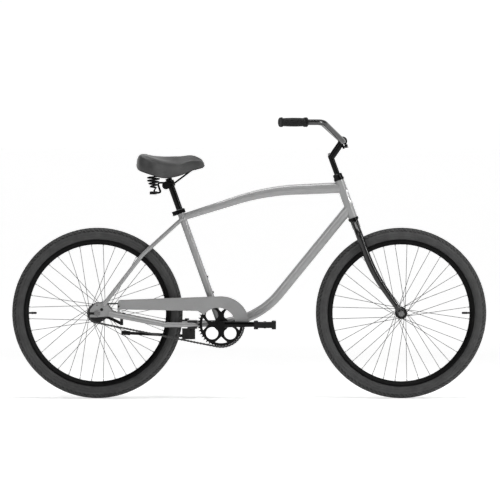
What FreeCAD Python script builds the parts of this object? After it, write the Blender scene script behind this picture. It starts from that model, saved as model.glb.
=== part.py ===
import FreeCAD, Part
import math
import os
import re
import Sketcher
from FreeCAD import Placement, Rotation, Vector

# Beach cruiser bicycle, millimetres. X points forward, Z up, and the drive side faces -Y.
# The origin lies on the ground, on the mid-plane, halfway between the two axles.

DIMS = {
    "wheelbase": 1184,
    "wheel_radius": 332.5,
    "tyre_width": 54,
    "tyre_wall": 3.5,
    "tyre_skirt_drop": 40.5,
    "tyre_bead_width": 26.4,
    "tyre_bead_thickness": 4,
    "rim_drop": 46.5,
    "rim_bead_drop": 53,
    "rim_floor_drop": 60.5,
    "rim_inner_drop": 65.5,
    "rim_width": 32,
    "rim_flange_thickness": 2.5,
    "rim_floor_width": 18,
    "rim_crown_width": 14,
    "air_tube_diameter": 41,
    "tube_wall": 1.2,
    "valve_diameter": 7.5,
    "valve_length": 29,
    "spoke_diameter": 2,
    "spoke_count": 36,
    "spoke_crossings": 3,
    "spoke_head_diameter": 4,
    "spoke_stand_off": 1.6,
    "spoke_hole_clearance": 0.3,
    "nipple_diameter": 4.4,
    "nipple_length": 11,
    "nipple_lap": 4,
    "nipple_side_offset": 1.75,
    "fit_gap": 0.3,
    "seat_gap": 0.15,
    "running_fit": 0.05,
    "front_hub_width": 100,
    "front_flange_radius": 23,
    "front_flange_spacing": 70,
    "front_shell_radius": 14,
    "rear_hub_width": 110,
    "rear_flange_radius": 37,
    "rear_flange_spacing": 54,
    "rear_shell_radius": 27,
    "flange_thickness": 3,
    "spoke_hole_inset": 4,
    "hub_cup_radius": 10.5,
    "hub_bore_radius": 7.5,
    "hub_cup_depth": 5.8,
    "hub_neck_length": 7,
    "axle_diameter": 9.5,
    "axle_overhang": 22,
    "cone_radius": 8,
    "cone_seat_radius": 5.2,
    "ball_diameter": 4.76,
    "ball_count": 10,
    "nut_diameter": 19,
    "nut_length": 10,
    "bracket_drop": 42.3,
    "bracket_to_axle": 482.7,
    "shell_diameter": 57,
    "shell_bore": 51.3,
    "shell_width": 68,
    "chain_line": 43,
    "chain_pitch": 12.7,
    "ring_teeth": 44,
    "sprocket_teeth": 18,
    "tooth_depth": 4.4,
    "tooth_tip_height": 3.5,
    "tooth_base_width": 6,
    "tooth_tip_width": 1.4,
    "ring_thickness": 3.1,
    "ring_hole_radius": 24,
    "ring_openings": 4,
    "ring_hole_circle": 50,
    "ring_window_apex": 48.5,
    "ring_window_rim": 74,
    "ring_window_width": 47,
    "roller_diameter": 7.75,
    "chain_pin_diameter": 3.6,
    "chain_plate_height": 8.4,
    "chain_plate_thickness": 1.2,
    "chain_inner_width": 3.5,
    "chain_waist_share": 0.7,
    "driver_radius": 17,
    "driver_width": 10,
    "brake_dish_radius": 22,
    "brake_arm_width": 12,
    "brake_arm_thickness": 4,
    "brake_arm_length": 95,
    "brake_arm_drop": 9.5,
    "crank_length": 170,
    "crank_spindle_diameter": 22,
    "crank_inset": 54,
    "crank_thickness": 14,
    "crank_boss_radius": 14,
    "crank_eye_radius": 12.5,
    "crank_arm_thickness": 12.4,
    "crank_root_height": 25,
    "crank_tip_height": 18,
    "crank_lock_radius": 17,
    "bracket_ball_diameter": 6.35,
    "bracket_ball_count": 9,
    "bracket_ball_level": 30,
    "bracket_cup_depth": 10,
    "bracket_cup_flange": 3,
    "pedal_length": 82,
    "pedal_width": 96,
    "pedal_height": 26,
    "pedal_frame": 9,
    "pedal_barrel_diameter": 24,
    "pedal_web_share": 0.8,
    "pedal_spindle_diameter": 12,
    "pedal_gap": 2,
    "seat_angle": 19.7,
    "seat_tube_setback": 2.7,
    "seat_tube_diameter": 28.6,
    "seat_tube_length": 470,
    "seat_post_diameter": 25.4,
    "seat_post_wall": 2,
    "seat_post_length": 350,
    "seat_post_top": 603,
    "collar_height": 18,
    "collar_overlap": 14,
    "collar_wall": 4,
    "collar_ear_length": 15,
    "collar_ear_thickness": 10,
    "collar_slot": 3,
    "skewer_diameter": 5,
    "lever_length": 46,
    "lever_thickness": 4,
    "lever_eye_radius": 5,
    "lever_pin_diameter": 4,
    "lever_hook": 3,
    "lever_barrel_radius": 6.5,
    "head_angle": 20,
    "head_x": 404.3,
    "head_z": 703.7,
    "head_tube_length": 156,
    "head_tube_diameter": 36,
    "head_tube_bore": 30.2,
    "steerer_diameter": 25.4,
    "quill_diameter": 22.2,
    "cup_insert": 10,
    "cup_height": 9,
    "cup_radius": 20.5,
    "cup_cavity_radius": 18.3,
    "race_cone_radius": 13.9,
    "headset_ball_diameter": 4,
    "headset_ball_count": 18,
    "headset_stack": 26,
    "race_chamfer": 3,
    "crown_gap": 4.5,
    "crown_radius": 16,
    "crown_height": 30,
    "blade_root_share": 0.75,
    "blade_shoulder_share": 0.8,
    "fork_blade_diameter": 27,
    "fork_tip_diameter": 21,
    "fork_wall": 1.6,
    "fork_spread": 46,
    "fork_bend_drop": 226,
    "fork_shoulder_radius": 45,
    "fork_bend_radius": 600,
    "fork_end_radius": 14,
    "fork_end_thickness": 5,
    "fork_end_length": 30,
    "stem_rise": 249.5,
    "stem_extension_diameter": 26,
    "clamp_x": 363.5,
    "clamp_z": 1002.5,
    "clamp_outer_diameter": 36,
    "clamp_width": 40,
    "clamp_slot": 3,
    "clamp_lug": 12,
    "clamp_lug_width": 18,
    "clamp_lug_share": 0.6,
    "stem_foot": 40,
    "wedge_length": 24,
    "stem_bolt_diameter": 8,
    "bar_diameter": 22.2,
    "bar_sleeve_diameter": 25.4,
    "bar_wall": 1.8,
    "bar_clamp_half": 58,
    "bar_bend_x": 285,
    "bar_bend_half": 262,
    "bar_end_x": 122,
    "bar_end_half": 326,
    "bar_grip_z": 1076,
    "bar_bend_radius": 45,
    "grip_length": 111,
    "grip_diameter": 34,
    "grip_flange_diameter": 38,
    "grip_flange_width": 6,
    "top_tube_height": 42,
    "top_tube_width": 31,
    "top_tube_seat_height": 27,
    "top_tube_seat_width": 25,
    "top_tube_head_drop": 31,
    "top_tube_knee_x": 65,
    "top_tube_knee_z": 808.3,
    "top_tube_seat_rise": 440.6,
    "top_tube_bend_radius": 900,
    "down_tube_height": 38,
    "down_tube_width": 32,
    "down_tube_head_rise": 41,
    "down_tube_angle": 39.2,
    "down_tube_foot_angle": 12,
    "down_tube_bend_radius": 305,
    "tube_wall_thickness": 1.6,
    "chainstay_diameter": 20,
    "chainstay_front_half": 20,
    "chainstay_waist_x": -202,
    "chainstay_waist_half": 27.5,
    "chainstay_tyre_x": -262,
    "chainstay_tyre_half": 40,
    "chainstay_knee_x": -330,
    "chainstay_knee_half": 46,
    "chainstay_knee_z": 288,
    "chainstay_bend_radius": 70,
    "seatstay_diameter": 16,
    "seatstay_top_rise": 437,
    "seatstay_top_half": 12,
    "seatstay_knee_x": -415,
    "seatstay_knee_z": 561,
    "seatstay_knee_half": 40,
    "seatstay_bend_radius": 200,
    "dropout_thickness": 5,
    "dropout_rear": 28,
    "dropout_drop": 15,
    "dropout_front": 62,
    "chainstay_lap": 16,
    "dropout_top": 40,
    "dropout_slot_front": 6,
    "eyelet_diameter": 5,
    "eyelet_height": 32,
    "dropout_seat_front": 36,
    "dropout_window_radius": 6,
    "seatstay_end_x": 23,
    "seatstay_end_z": 30,
    "chainstay_end_drop": 1.5,
    "bridge_diameter": 12,
    "bridge_share": 0.52,
    "guard_inset": 50.5,
    "guard_thickness": 1.2,
    "guard_flange": 8,
    "guard_radius": 108,
    "guard_inner_radius": 68,
    "guard_rear_x": -509,
    "guard_rear_top": 384,
    "guard_rear_bottom": 349,
    "guard_corner": 6,
    "guard_waist_x": -201,
    "guard_waist_z": 343,
    "guard_cusp_back": 66.6,
    "guard_cusp_rise": 37.2,
    "guard_mouth": 56,
    "guard_mouth_rise": 6,
    "guard_tab_width": 10,
    "guard_tab_thickness": 2,
    "guard_tab_lap": 20,
    "guard_tab_foot": 322,
    "screw_head_diameter": 8,
    "screw_head_height": 3,
    "boss_low": 126,
    "boss_spacing": 64,
    "stand_x": -222,
    "stand_plate_length": 38,
    "stand_plate_width": 80,
    "stand_plate_thickness": 6,
    "stand_pivot_x": -251,
    "stand_pivot_y": 27.3,
    "stand_bolt_diameter": 10,
    "stand_bolt_head": 17,
    "stand_housing_width": 14,
    "stand_fold_rise": 2.8,
    "stand_fold_splay": 2.9,
    "stand_down_rake": 18,
    "stand_down_splay": 15.7,
    "stand_pivot_z": 240,
    "stand_pin_diameter": 10,
    "stand_pin_head": 15,
    "stand_eye_radius": 11,
    "stand_eye_width": 16,
    "stand_leg_diameter": 12,
    "stand_leg_length": 235,
    "stand_foot_length": 34,
    "stand_foot_lap": 20.4,
    "stand_foot_diameter": 17,
    "rail_diameter": 7,
    "rail_bend_radius": 8.4,
    "rail_clamp_reach": 34.1,
    "rail_foot_run": 28,
    "rail_half": 22,
    "rail_z": 840,
    "rail_nose_x": -214,
    "rail_nose_z": 897,
    "rail_nose_half": 16,
    "clamp_bolt_x": -323.8,
    "clamp_bolt_z": 830,
    "clamp_bolt_diameter": 8,
    "clamp_nut_length": 5.6,
    "clamp_barrel_diameter": 18,
    "clamp_barrel_half": 18,
    "clamp_plate_radius": 15.5,
    "clamp_plate_width": 9,
    "clamp_ring_height": 24,
    "clamp_ring_wall": 4.5,
    "spring_x": -373,
    "spring_half": 68,
    "spring_foot_z": 806,
    "spring_wire": 5,
    "spring_top_radius": 22,
    "spring_foot_radius": 9,
    "spring_turns": 4,
    "spring_top_z": 880,
    "spring_lead": 9,
    "spring_foot_turn": -1.2,
    "spring_head_turn": 0.8,
    "spring_cone_share": 0.6,
    "nose_lug_half": 6,
    "nose_lug_wall": 4,
    "saddle_skirt": 6,
    "saddle_edge": 5,
    "saddle_brow_share": 0.8,
    "saddle_brow_rise": 0.85,
    "saddle_bulge_rise": 0.45,
    "saddle1_x": -438,
    "saddle1_width": 150,
    "saddle1_low": 899,
    "saddle1_high": 934,
    "saddle2_x": -420,
    "saddle2_width": 220,
    "saddle2_low": 888,
    "saddle2_high": 949,
    "saddle3_x": -380,
    "saddle3_width": 246,
    "saddle3_low": 875,
    "saddle3_high": 946,
    "saddle4_x": -330,
    "saddle4_width": 196,
    "saddle4_low": 864,
    "saddle4_high": 940,
    "saddle5_x": -275,
    "saddle5_width": 112,
    "saddle5_low": 871,
    "saddle5_high": 943,
    "saddle6_x": -225,
    "saddle6_width": 68,
    "saddle6_low": 889,
    "saddle6_high": 947,
    "saddle7_x": -190,
    "saddle7_width": 48,
    "saddle7_low": 902,
    "saddle7_high": 936,
    "saddle8_x": -175,
    "saddle8_width": 26,
    "saddle8_low": 906,
    "saddle8_high": 919,
    "saddle_pan_lift": 14,
    "saddle_pan_thickness": 4,
}

doc = FreeCAD.newDocument("BeachCruiser")
sheet = doc.addObject("Spreadsheet::Sheet", "Dims")
ALIASES = []
for row, (alias, number) in enumerate(DIMS.items(), 1):
    sheet.set(f"A{row}", alias)
    sheet.set(f"B{row}", str(number))
    sheet.setAlias(f"B{row}", alias)
    ALIASES.append(alias)
doc.recompute()

PARTS = []
X_AXIS = Vector(1, 0, 0)
Y_AXIS = Vector(0, 1, 0)
Z_AXIS = Vector(0, 0, 1)


def bound(text):
    """Expression text with every sheet alias written in full."""
    return re.sub(r"[a-z]\w*", lambda m: "Dims." + m[0] if m[0] in ALIASES else m[0], str(text))


def val(text):
    return float(sheet.evalExpression(bound(text)))


def bind(thing, **sizes):
    for name, text in sizes.items():
        thing.setExpression(name, bound(text))


def keep(thing, label):
    """Names a finished sub-part, whose shape goes to a file of that name."""
    thing.Label = label
    PARTS.append(thing)
    return thing


def solve(sketch, corners):
    """Closed outline of lines and arcs: each corner is x, y and, before an arc, its radius.

    A positive radius turns left on the way to the next corner, a negative one turns right.
    """
    places = [Vector(val(corner[0]), val(corner[1]), 0) for corner in corners]
    edges = []
    for here, there, corner in zip(places, places[1:] + places[:1], corners):
        if len(corner) == 2:
            edges.append((sketch.addGeometry(Part.LineSegment(here, there)), 1, 2))
            continue
        radius = abs(val(corner[2]))
        turn = math.copysign(1, val(corner[2]))
        chord = there - here
        aside = Vector(-chord.y, chord.x, 0).normalize() * turn
        centre = (here + there) * 0.5 + aside * math.sqrt(max(0, radius**2 - chord.Length**2 / 4))
        angles = [math.atan2(p.y - centre.y, p.x - centre.x) for p in (here, there)]
        first, last = (1, 2) if turn > 0 else (2, 1)
        arc = Part.ArcOfCircle(
            Part.Circle(centre, Z_AXIS, radius),
            *(angles if turn > 0 else angles[::-1]),
        )
        edges.append((sketch.addGeometry(arc), first, last))
        size = sketch.addConstraint(Sketcher.Constraint("Radius", edges[-1][0], radius))
        sketch.setExpression(f"Constraints[{size}]", bound(f"abs({corner[2]})"))
    for (edge, first, last), following, place, corner in zip(edges, edges[1:] + edges[:1], places, corners):
        sketch.addConstraint(Sketcher.Constraint("Coincident", edge, last, following[0], following[1]))
        for kind, text, number in (("DistanceX", corner[0], place.x), ("DistanceY", corner[1], place.y)):
            size = sketch.addConstraint(Sketcher.Constraint(kind, -1, 1, edge, first, number))
            sketch.setExpression(f"Constraints[{size}]", bound(text))


def circles(sketch, rounds):
    """Circles given as x, y, radius."""
    for x, y, radius in rounds:
        ring = Part.Circle(Vector(val(x), val(y), 0), Z_AXIS, val(radius))
        edge = sketch.addGeometry(ring)
        for kind, text, point in (("DistanceX", x, 3), ("DistanceY", y, 3), ("Radius", radius, None)):
            if point:
                size = sketch.addConstraint(Sketcher.Constraint(kind, -1, 1, edge, point, val(text)))
            else:
                size = sketch.addConstraint(Sketcher.Constraint(kind, edge, val(text)))
            sketch.setExpression(f"Constraints[{size}]", bound(text))


def sketch_on(body, role, corners=(), rounds=()):
    sketch = body.newObject("Sketcher::SketchObject", body.Name + "Sketch")
    plane = next(part for part in body.Origin.OriginFeatures if part.Role == role)
    sketch.AttachmentSupport = [(plane, "")]
    sketch.MapMode = "FlatFace"
    if corners:
        solve(sketch, corners)
    circles(sketch, rounds)
    return sketch


def new_body(name, place):
    body = doc.addObject("PartDesign::Body", name)
    body.Placement = place
    return body


def revolved(name, corners, place):
    """Body turned about its own Z axis from an outline of radius and height."""
    body = new_body(name, place)
    sketch = sketch_on(body, "XZ_Plane", corners)
    turned = body.newObject("PartDesign::Revolution", name + "Turned")
    turned.Profile = sketch
    turned.ReferenceAxis = (sketch, ["V_Axis"])
    turned.Angle = 360
    return body


def add_pad(body, length, corners=(), rounds=(), reverse=False):
    pad = body.newObject("PartDesign::Pad", body.Name + "Pad")
    pad.Profile = sketch_on(body, "XY_Plane", corners, rounds)
    pad.Reversed = reverse
    bind(pad, Length=length)
    return pad


def padded(name, length, place, corners=(), rounds=()):
    """Plate standing on its own XY plane."""
    body = new_body(name, place)
    add_pad(body, length, corners, rounds)
    return body


def pocket(body, corners=(), rounds=()):
    """Cut right through, both ways from the sketch."""
    hole = body.newObject("PartDesign::Pocket", body.Name + "Pocket")
    hole.Profile = sketch_on(body, "XY_Plane", corners, rounds)
    hole.Type = "ThroughAll"
    hole.Midplane = True
    return hole


def polar(body, feature, count):
    """Repeats the body's last feature about its Z axis."""
    pattern = body.newObject("PartDesign::PolarPattern", body.Name + "Polar")
    pattern.Originals = [feature]
    pattern.Axis = (feature.Profile[0], ["N_Axis"])
    pattern.Angle = 360
    bind(pattern, Occurrences=count)
    body.Tip = pattern
    return pattern


def cylinder(radius, height, place):
    thing = doc.addObject("Part::Cylinder", "Cylinder")
    bind(thing, Radius=radius, Height=height)
    thing.Placement = place
    return thing


def box(length, width, height, place):
    """Block centred on its place in X and Y, and standing on it in Z."""
    thing = doc.addObject("Part::Box", "Block")
    bind(thing, Length=length, Width=width, Height=height)
    corner = Vector(-val(length) / 2, -val(width) / 2, 0)
    thing.Placement = place.multiply(Placement(corner, Rotation()))
    return thing


def cut(base, *tools):
    for tool in tools:
        thing = doc.addObject("Part::Cut", "Cut")
        thing.Base = base
        thing.Tool = tool
        base = thing
    return base


def trimmed(base, room):
    """Only the part of a piece that lies inside a room."""
    thing = doc.addObject("Part::Common", "Trimmed")
    thing.Base = base
    thing.Tool = room
    return thing


def fuse(*things):
    thing = doc.addObject("Part::MultiFuse", "Fusion")
    thing.Shapes = list(things)
    thing.Refine = True
    return thing


def group(*things):
    thing = doc.addObject("Part::Compound", "Group")
    thing.Links = list(things)
    return thing


def feature(shape):
    thing = doc.addObject("Part::Feature", "Form")
    thing.Shape = shape
    return thing


def along(start, direction):
    """Placement whose Z axis runs from start in the given direction."""
    return Placement(start, Rotation(Z_AXIS, direction))


def rod(radius, start, end):
    """Round bar between two points."""
    thing = doc.addObject("Part::Cylinder", "Rod")
    bind(thing, Radius=radius)
    thing.Height = (end - start).Length
    thing.Placement = along(start, end - start)
    return thing


def bent_path(points, bends):
    """Straight runs joined by tangent arcs, all of one radius or each of its own."""
    corners = len(points) - 2
    radii = bends if isinstance(bends, list) else [bends] * corners
    edges = []
    here = points[0]
    for before, corner, after, radius in zip(points, points[1:], points[2:], radii):
        into = (corner - before).normalize()
        out = (after - corner).normalize()
        half = into.getAngle(out) / 2
        reach = radius * math.tan(half)
        start = corner - into * reach
        end = corner + out * reach
        middle = corner + (out - into).normalize() * radius * (1 / math.cos(half) - 1)
        edges.append(Part.LineSegment(here, start).toShape())
        edges.append(Part.Arc(start, middle, end).toShape())
        here = end
    edges.append(Part.LineSegment(here, points[-1]).toShape())
    return Part.Wire(edges)


def oval(centre, direction, height, width):
    """Section square to a direction: height lies in the XZ plane, width along Y."""
    rise = direction.cross(Y_AXIS).normalize()
    side = rise.cross(direction).normalize()
    if math.isclose(height, width):
        return Part.Wire(Part.Circle(centre, direction, height / 2).toShape())
    return Part.Wire(Part.Ellipse(centre + rise * height / 2, centre + side * width / 2, centre).toShape())


def pipe(points, bends, *sections):
    """Solid drawn along a bent path, from one section size to another if two are given."""
    path = bent_path(points, bends)
    sweep = Part.BRepOffsetAPI.MakePipeShell(path)
    sweep.add(oval(points[0], points[1] - points[0], *sections[0]))
    if len(sections) > 1:
        sweep.add(oval(points[-1], points[-1] - points[-2], *sections[-1]))
    sweep.build()
    sweep.makeSolid()
    return sweep.shape()


def tube(points, bends, wall, *sections):
    """Hollow pipe with an even wall."""
    bore = [(height - 2 * wall, width - 2 * wall) for height, width in sections]
    return pipe(points, bends, *sections).cut(pipe(points, bends, *bore))


# Reference points and frames that the pieces share.
REAR = Vector(-val("wheelbase") / 2, 0, val("wheel_radius"))
FRONT = Vector(val("wheelbase") / 2, 0, val("wheel_radius"))
BRACKET = REAR + Vector(val("bracket_to_axle"), 0, -val("bracket_drop"))
SIDEWAYS = Rotation(X_AXIS, 90)
OTHER_SIDE = Rotation(Z_AXIS, 180).multiply(Rotation(X_AXIS, 90))
STEER = Placement(Vector(val("head_x"), 0, val("head_z")), Rotation(Y_AXIS, -val("head_angle")))
SEAT = Placement(BRACKET - Vector(val("seat_tube_setback"), 0, 0), Rotation(Y_AXIS, -val("seat_angle")))
STEER_UP = STEER.Rotation.multVec(Z_AXIS)
SEAT_UP = SEAT.Rotation.multVec(Z_AXIS)
SIDES = {"right": -1, "left": 1}


def beside(centre, inset=0.0):
    """Frame whose Z axis points to the drive side, that far from the mid-plane."""
    return Placement(centre - Y_AXIS * inset, SIDEWAYS)


def up_from(frame, rise):
    return frame.multiply(Placement(Vector(0, 0, rise), Rotation()))


def ring(inner, outer, low, high):
    """Corners of a plain ring's section."""
    return [(inner, low), (outer, low), (outer, high), (inner, high)]


# Wheels

TYRE_SKIRT = "(wheel_radius - tyre_skirt_drop)"
RIM_EDGE = "(wheel_radius - rim_drop)"
RIM_BEAD = "(wheel_radius - rim_bead_drop)"
RIM_FLOOR = "(wheel_radius - rim_floor_drop)"
RIM_INNER = "(wheel_radius - rim_inner_drop)"


def make_tyre(name, centre):
    centre_radius = "(wheel_radius - tyre_width / 2)"
    inside = "(tyre_width / 2 - tyre_wall)"
    skirt_in = f"({TYRE_SKIRT} + tyre_wall / 2)"
    skirt = f"sqrt((tyre_width / 2)^2 - ({centre_radius} - {TYRE_SKIRT})^2)"
    skirt_inside = f"sqrt({inside}^2 - ({centre_radius} - {skirt_in})^2)"
    bead = f"({RIM_BEAD} + seat_gap)"
    lip = f"({RIM_EDGE} + 1)"
    out = "(tyre_bead_width / 2)"
    toe = "(tyre_bead_width / 2 - tyre_bead_thickness)"
    corners = [
        (bead, out),
        (lip, out),
        (TYRE_SKIRT, skirt, "-tyre_width / 2"),
        ("wheel_radius", "0", "-tyre_width / 2"),
        (TYRE_SKIRT, "-" + skirt),
        (lip, "-" + out),
        (bead, "-" + out),
        (bead, "-" + toe),
        (lip, "-" + toe),
        (skirt_in, "-" + skirt_inside, inside),
        (f"{centre_radius} + {inside}", "0", inside),
        (skirt_in, skirt_inside),
        (lip, toe),
        (bead, toe),
    ]
    keep(revolved("Tyre", corners, beside(centre)), name)


def make_inner_tube(name, centre, inward):
    """Air tube inside the tyre, with its valve through the rim."""
    middle = "(wheel_radius - tyre_wall - fit_gap - air_tube_diameter / 2)"
    air = []
    for size in ("air_tube_diameter / 2", "air_tube_diameter / 2 - tube_wall"):
        torus = doc.addObject("Part::Torus", "AirTube")
        bind(torus, Radius1=middle, Radius2=size)
        torus.Placement = beside(centre)
        air.append(torus)
    root = centre - inward * val(f"{middle} - air_tube_diameter / 4")
    tip = centre - inward * (val(RIM_INNER) - val("valve_length"))
    stem = rod("valve_diameter / 2", root, tip)
    keep(cut(fuse(air[0], stem), air[1]), name)


def make_rim(name, centre, inward):
    half = "rim_width / 2"
    inside = "rim_width / 2 - rim_flange_thickness"
    seat = "rim_floor_width / 2 + rim_flange_thickness"
    upper = [
        (RIM_EDGE, half),
        (RIM_EDGE, inside),
        (RIM_BEAD, inside),
        (RIM_BEAD, seat),
        (RIM_FLOOR, "rim_floor_width / 2"),
    ]
    lower = [(radius, f"-({height})") for radius, height in reversed(upper)]
    outer = [
        (RIM_BEAD, f"-({half})"),
        (RIM_INNER, "-rim_crown_width / 2"),
        (RIM_INNER, "rim_crown_width / 2"),
        (RIM_BEAD, half),
    ]
    rim = revolved("Rim", upper + lower + outer, beside(centre))
    reach = val(f"{RIM_FLOOR} + valve_length")
    hole = rod(
        "valve_diameter / 2 + seat_gap",
        centre - inward * reach,
        centre - inward * val("valve_length"),
    )
    keep(cut(rim, hole, feature(nipple_holes(centre))), name)


def spoke_angles(index):
    """Rim angle of one spoke, and the hub angle that its crossings give."""
    step = 360 / val("spoke_count")
    leads = 1 if (index // 2) % 2 else -1
    rim = (index + 0.5) * step
    return math.radians(rim), math.radians(rim + leads * 2 * val("spoke_crossings") * step)


def spoke_points(index, flange_radius, spacing):
    """Hole in the flange, elbow beside it and nipple seat in the rim, about the hub's own axis."""
    side = 1 if index % 2 else -1
    outward = 1 if (index // 2) % 2 else -1
    at_hub = spoke_angles(index)[1]
    radius = flange_radius - val("spoke_hole_inset")
    hole = Vector(radius * math.cos(at_hub), radius * math.sin(at_hub), side * spacing / 2)
    lift = val("flange_thickness / 2 + spoke_diameter / 2 + seat_gap")
    if outward > 0:
        lift += val("spoke_stand_off")
    elbow = hole + Z_AXIS * side * outward * lift
    return hole, elbow, nipple_base(index), side * outward


def nipple_axis(index):
    at_rim = spoke_angles(index)[0]
    return Vector(math.cos(at_rim), math.sin(at_rim), 0)


def nipple_base(index):
    side = 1 if index % 2 else -1
    inner = val(f"{RIM_INNER} - nipple_length + nipple_lap")
    return nipple_axis(index) * inner + Z_AXIS * side * val("nipple_side_offset")


def nipple_holes(centre):
    """Bores in the rim, one for each nipple."""
    radius = val("nipple_diameter / 2 + seat_gap")
    reach = val(f"{RIM_EDGE} - {RIM_INNER} + nipple_length")
    bores = [
        Part.makeCylinder(radius, reach, nipple_base(index), nipple_axis(index))
        for index in range(int(val("spoke_count")))
    ]
    shape = Part.makeCompound(bores)
    shape.Placement = beside(centre)
    return shape


def make_spokes(name, centre, flange_radius, spacing):
    """Crossed wire spokes, each with an elbow and head at the flange and a nipple at the rim."""
    wire = val("spoke_diameter / 2")
    head_gap = val("flange_thickness / 2 + seat_gap")
    pieces = []
    for index in range(int(val("spoke_count"))):
        hole, elbow, seat, face = spoke_points(index, flange_radius, spacing)
        shaft = Part.makeCylinder(wire, (seat - elbow).Length, elbow, seat - elbow)
        bend = Part.makeSphere(wire, elbow)
        stub_end = hole - Z_AXIS * face * head_gap
        stub = Part.makeCylinder(wire, (stub_end - elbow).Length, elbow, stub_end - elbow)
        head = Part.makeCylinder(val("spoke_head_diameter / 2"), wire, stub_end, Z_AXIS * -face)
        spoke = shaft.fuse([bend, stub, head])
        size = (val("nipple_diameter / 2"), val("nipple_length"))
        nipple = Part.makeCylinder(*size, nipple_base(index), nipple_axis(index))
        pieces += [spoke.cut(nipple), nipple]
    spokes = feature(Part.makeCompound(pieces))
    spokes.Placement = beside(centre)
    keep(spokes, name)


def flange_holes(centre, flange_radius, spacing):
    """Spoke holes in both flanges of a hub."""
    radius = val("spoke_diameter / 2 + spoke_hole_clearance")
    bores = []
    for index in range(int(val("spoke_count"))):
        hole = spoke_points(index, flange_radius, spacing)[0]
        reach = val("flange_thickness")
        bores.append(Part.makeCylinder(radius, 2 * reach, hole - Z_AXIS * reach, Z_AXIS))
    shape = feature(Part.makeCompound(bores))
    shape.Placement = beside(centre)
    return shape


def make_hub(name, centre, end):
    """Hub shell with two drilled flanges, a bearing cup at each end and a bore for the axle."""
    flange = f"{end}_flange_radius"
    middle = f"{end}_flange_spacing / 2"
    outside = f"({middle} + flange_thickness / 2)"
    inside = f"({middle} - flange_thickness / 2)"
    shell = f"{end}_shell_radius"
    mouth = f"({middle} + hub_neck_length)"
    floor = f"({mouth} - hub_cup_depth)"
    upper = [
        ("hub_bore_radius", floor),
        ("hub_cup_radius", floor),
        ("hub_cup_radius", mouth),
        ("hub_cup_radius + tyre_wall", mouth),
        (shell, outside),
        (flange, outside),
        (flange, inside),
        (f"{flange} - 2 * spoke_hole_inset", inside),
        (shell, f"{inside} - flange_thickness"),
    ]
    lower = [(radius, f"-({height})") for radius, height in reversed(upper)]
    hub = revolved("Hub", upper + lower, beside(centre))
    keep(cut(hub, flange_holes(centre, val(flange), val(f"{end}_flange_spacing"))), name)


def make_hub_balls(name, centre, end):
    """Loose balls in the two bearing cups."""
    middle = val(f"{end}_flange_spacing / 2 + hub_neck_length - hub_cup_depth")
    level = middle + val("ball_diameter / 2 + fit_gap")
    circle = (val("hub_cup_radius") + val("cone_seat_radius")) / 2
    balls = []
    for side in (1, -1):
        for index in range(int(val("ball_count"))):
            turn = 2 * math.pi * index / val("ball_count")
            place = Vector(circle * math.cos(turn), circle * math.sin(turn), side * level)
            balls.append(Part.makeSphere(val("ball_diameter / 2"), place))
    cage = feature(Part.makeCompound(balls))
    cage.Placement = beside(centre)
    keep(cage, name)


def make_axle(name, centre, end, wall):
    """Threaded axle with a cone for each bearing and a nut outside each frame end."""
    axle = "axle_diameter / 2"
    half = f"{end}_hub_width / 2"
    ends = f"({half} + axle_overhang)"
    floor = f"({end}_flange_spacing / 2 + hub_neck_length - hub_cup_depth)"
    shoulder = f"({floor} + ball_diameter + 2 * fit_gap)"
    rod_section = ring("0", axle, "-" + ends, ends)
    pieces = [revolved("Axle", rod_section, beside(centre))]
    for side in (1, -1):
        place = beside(centre).multiply(Placement(Vector(), Rotation(X_AXIS, 0 if side > 0 else 180)))
        reach = cone_reach(end, side)
        cone = [
            (axle, floor),
            ("cone_seat_radius", floor),
            ("cone_seat_radius", shoulder),
            ("cone_radius", shoulder),
            ("cone_radius", reach),
            (axle, reach),
        ]
        pieces.append(revolved("Cone", cone, place))
        face = f"{half} + {wall} + seat_gap"
        nut = ring(axle, "nut_diameter / 2", face, f"{face} + nut_length")
        pieces.append(revolved("Nut", nut, place))
    keep(group(*pieces), name)


def cone_reach(end, side):
    """The cones fill the hub's width, but leave room for the brake arm on the rear left."""
    if end == "rear" and side < 0:
        return f"{end}_hub_width / 2 - brake_arm_thickness - 2 * seat_gap"
    return f"{end}_hub_width / 2"


def make_wheels():
    for end, centre, inward in (("front", FRONT, Vector(-1, 0, 0)), ("rear", REAR, Vector(1, 0, 0))):
        make_tyre(f"{end}_tyre", centre)
        make_inner_tube(f"{end}_inner_tube", centre, inward)
        make_rim(f"{end}_rim", centre, inward)
        make_spokes(f"{end}_spokes", centre, val(f"{end}_flange_radius"), val(f"{end}_flange_spacing"))
        make_hub(f"{end}_hub", centre, end)
        make_hub_balls(f"{end}_hub_balls", centre, end)
    make_axle("front_axle", FRONT, "front", "fork_end_thickness")
    make_axle("rear_axle", REAR, "rear", "dropout_thickness")


# Drive


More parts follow.
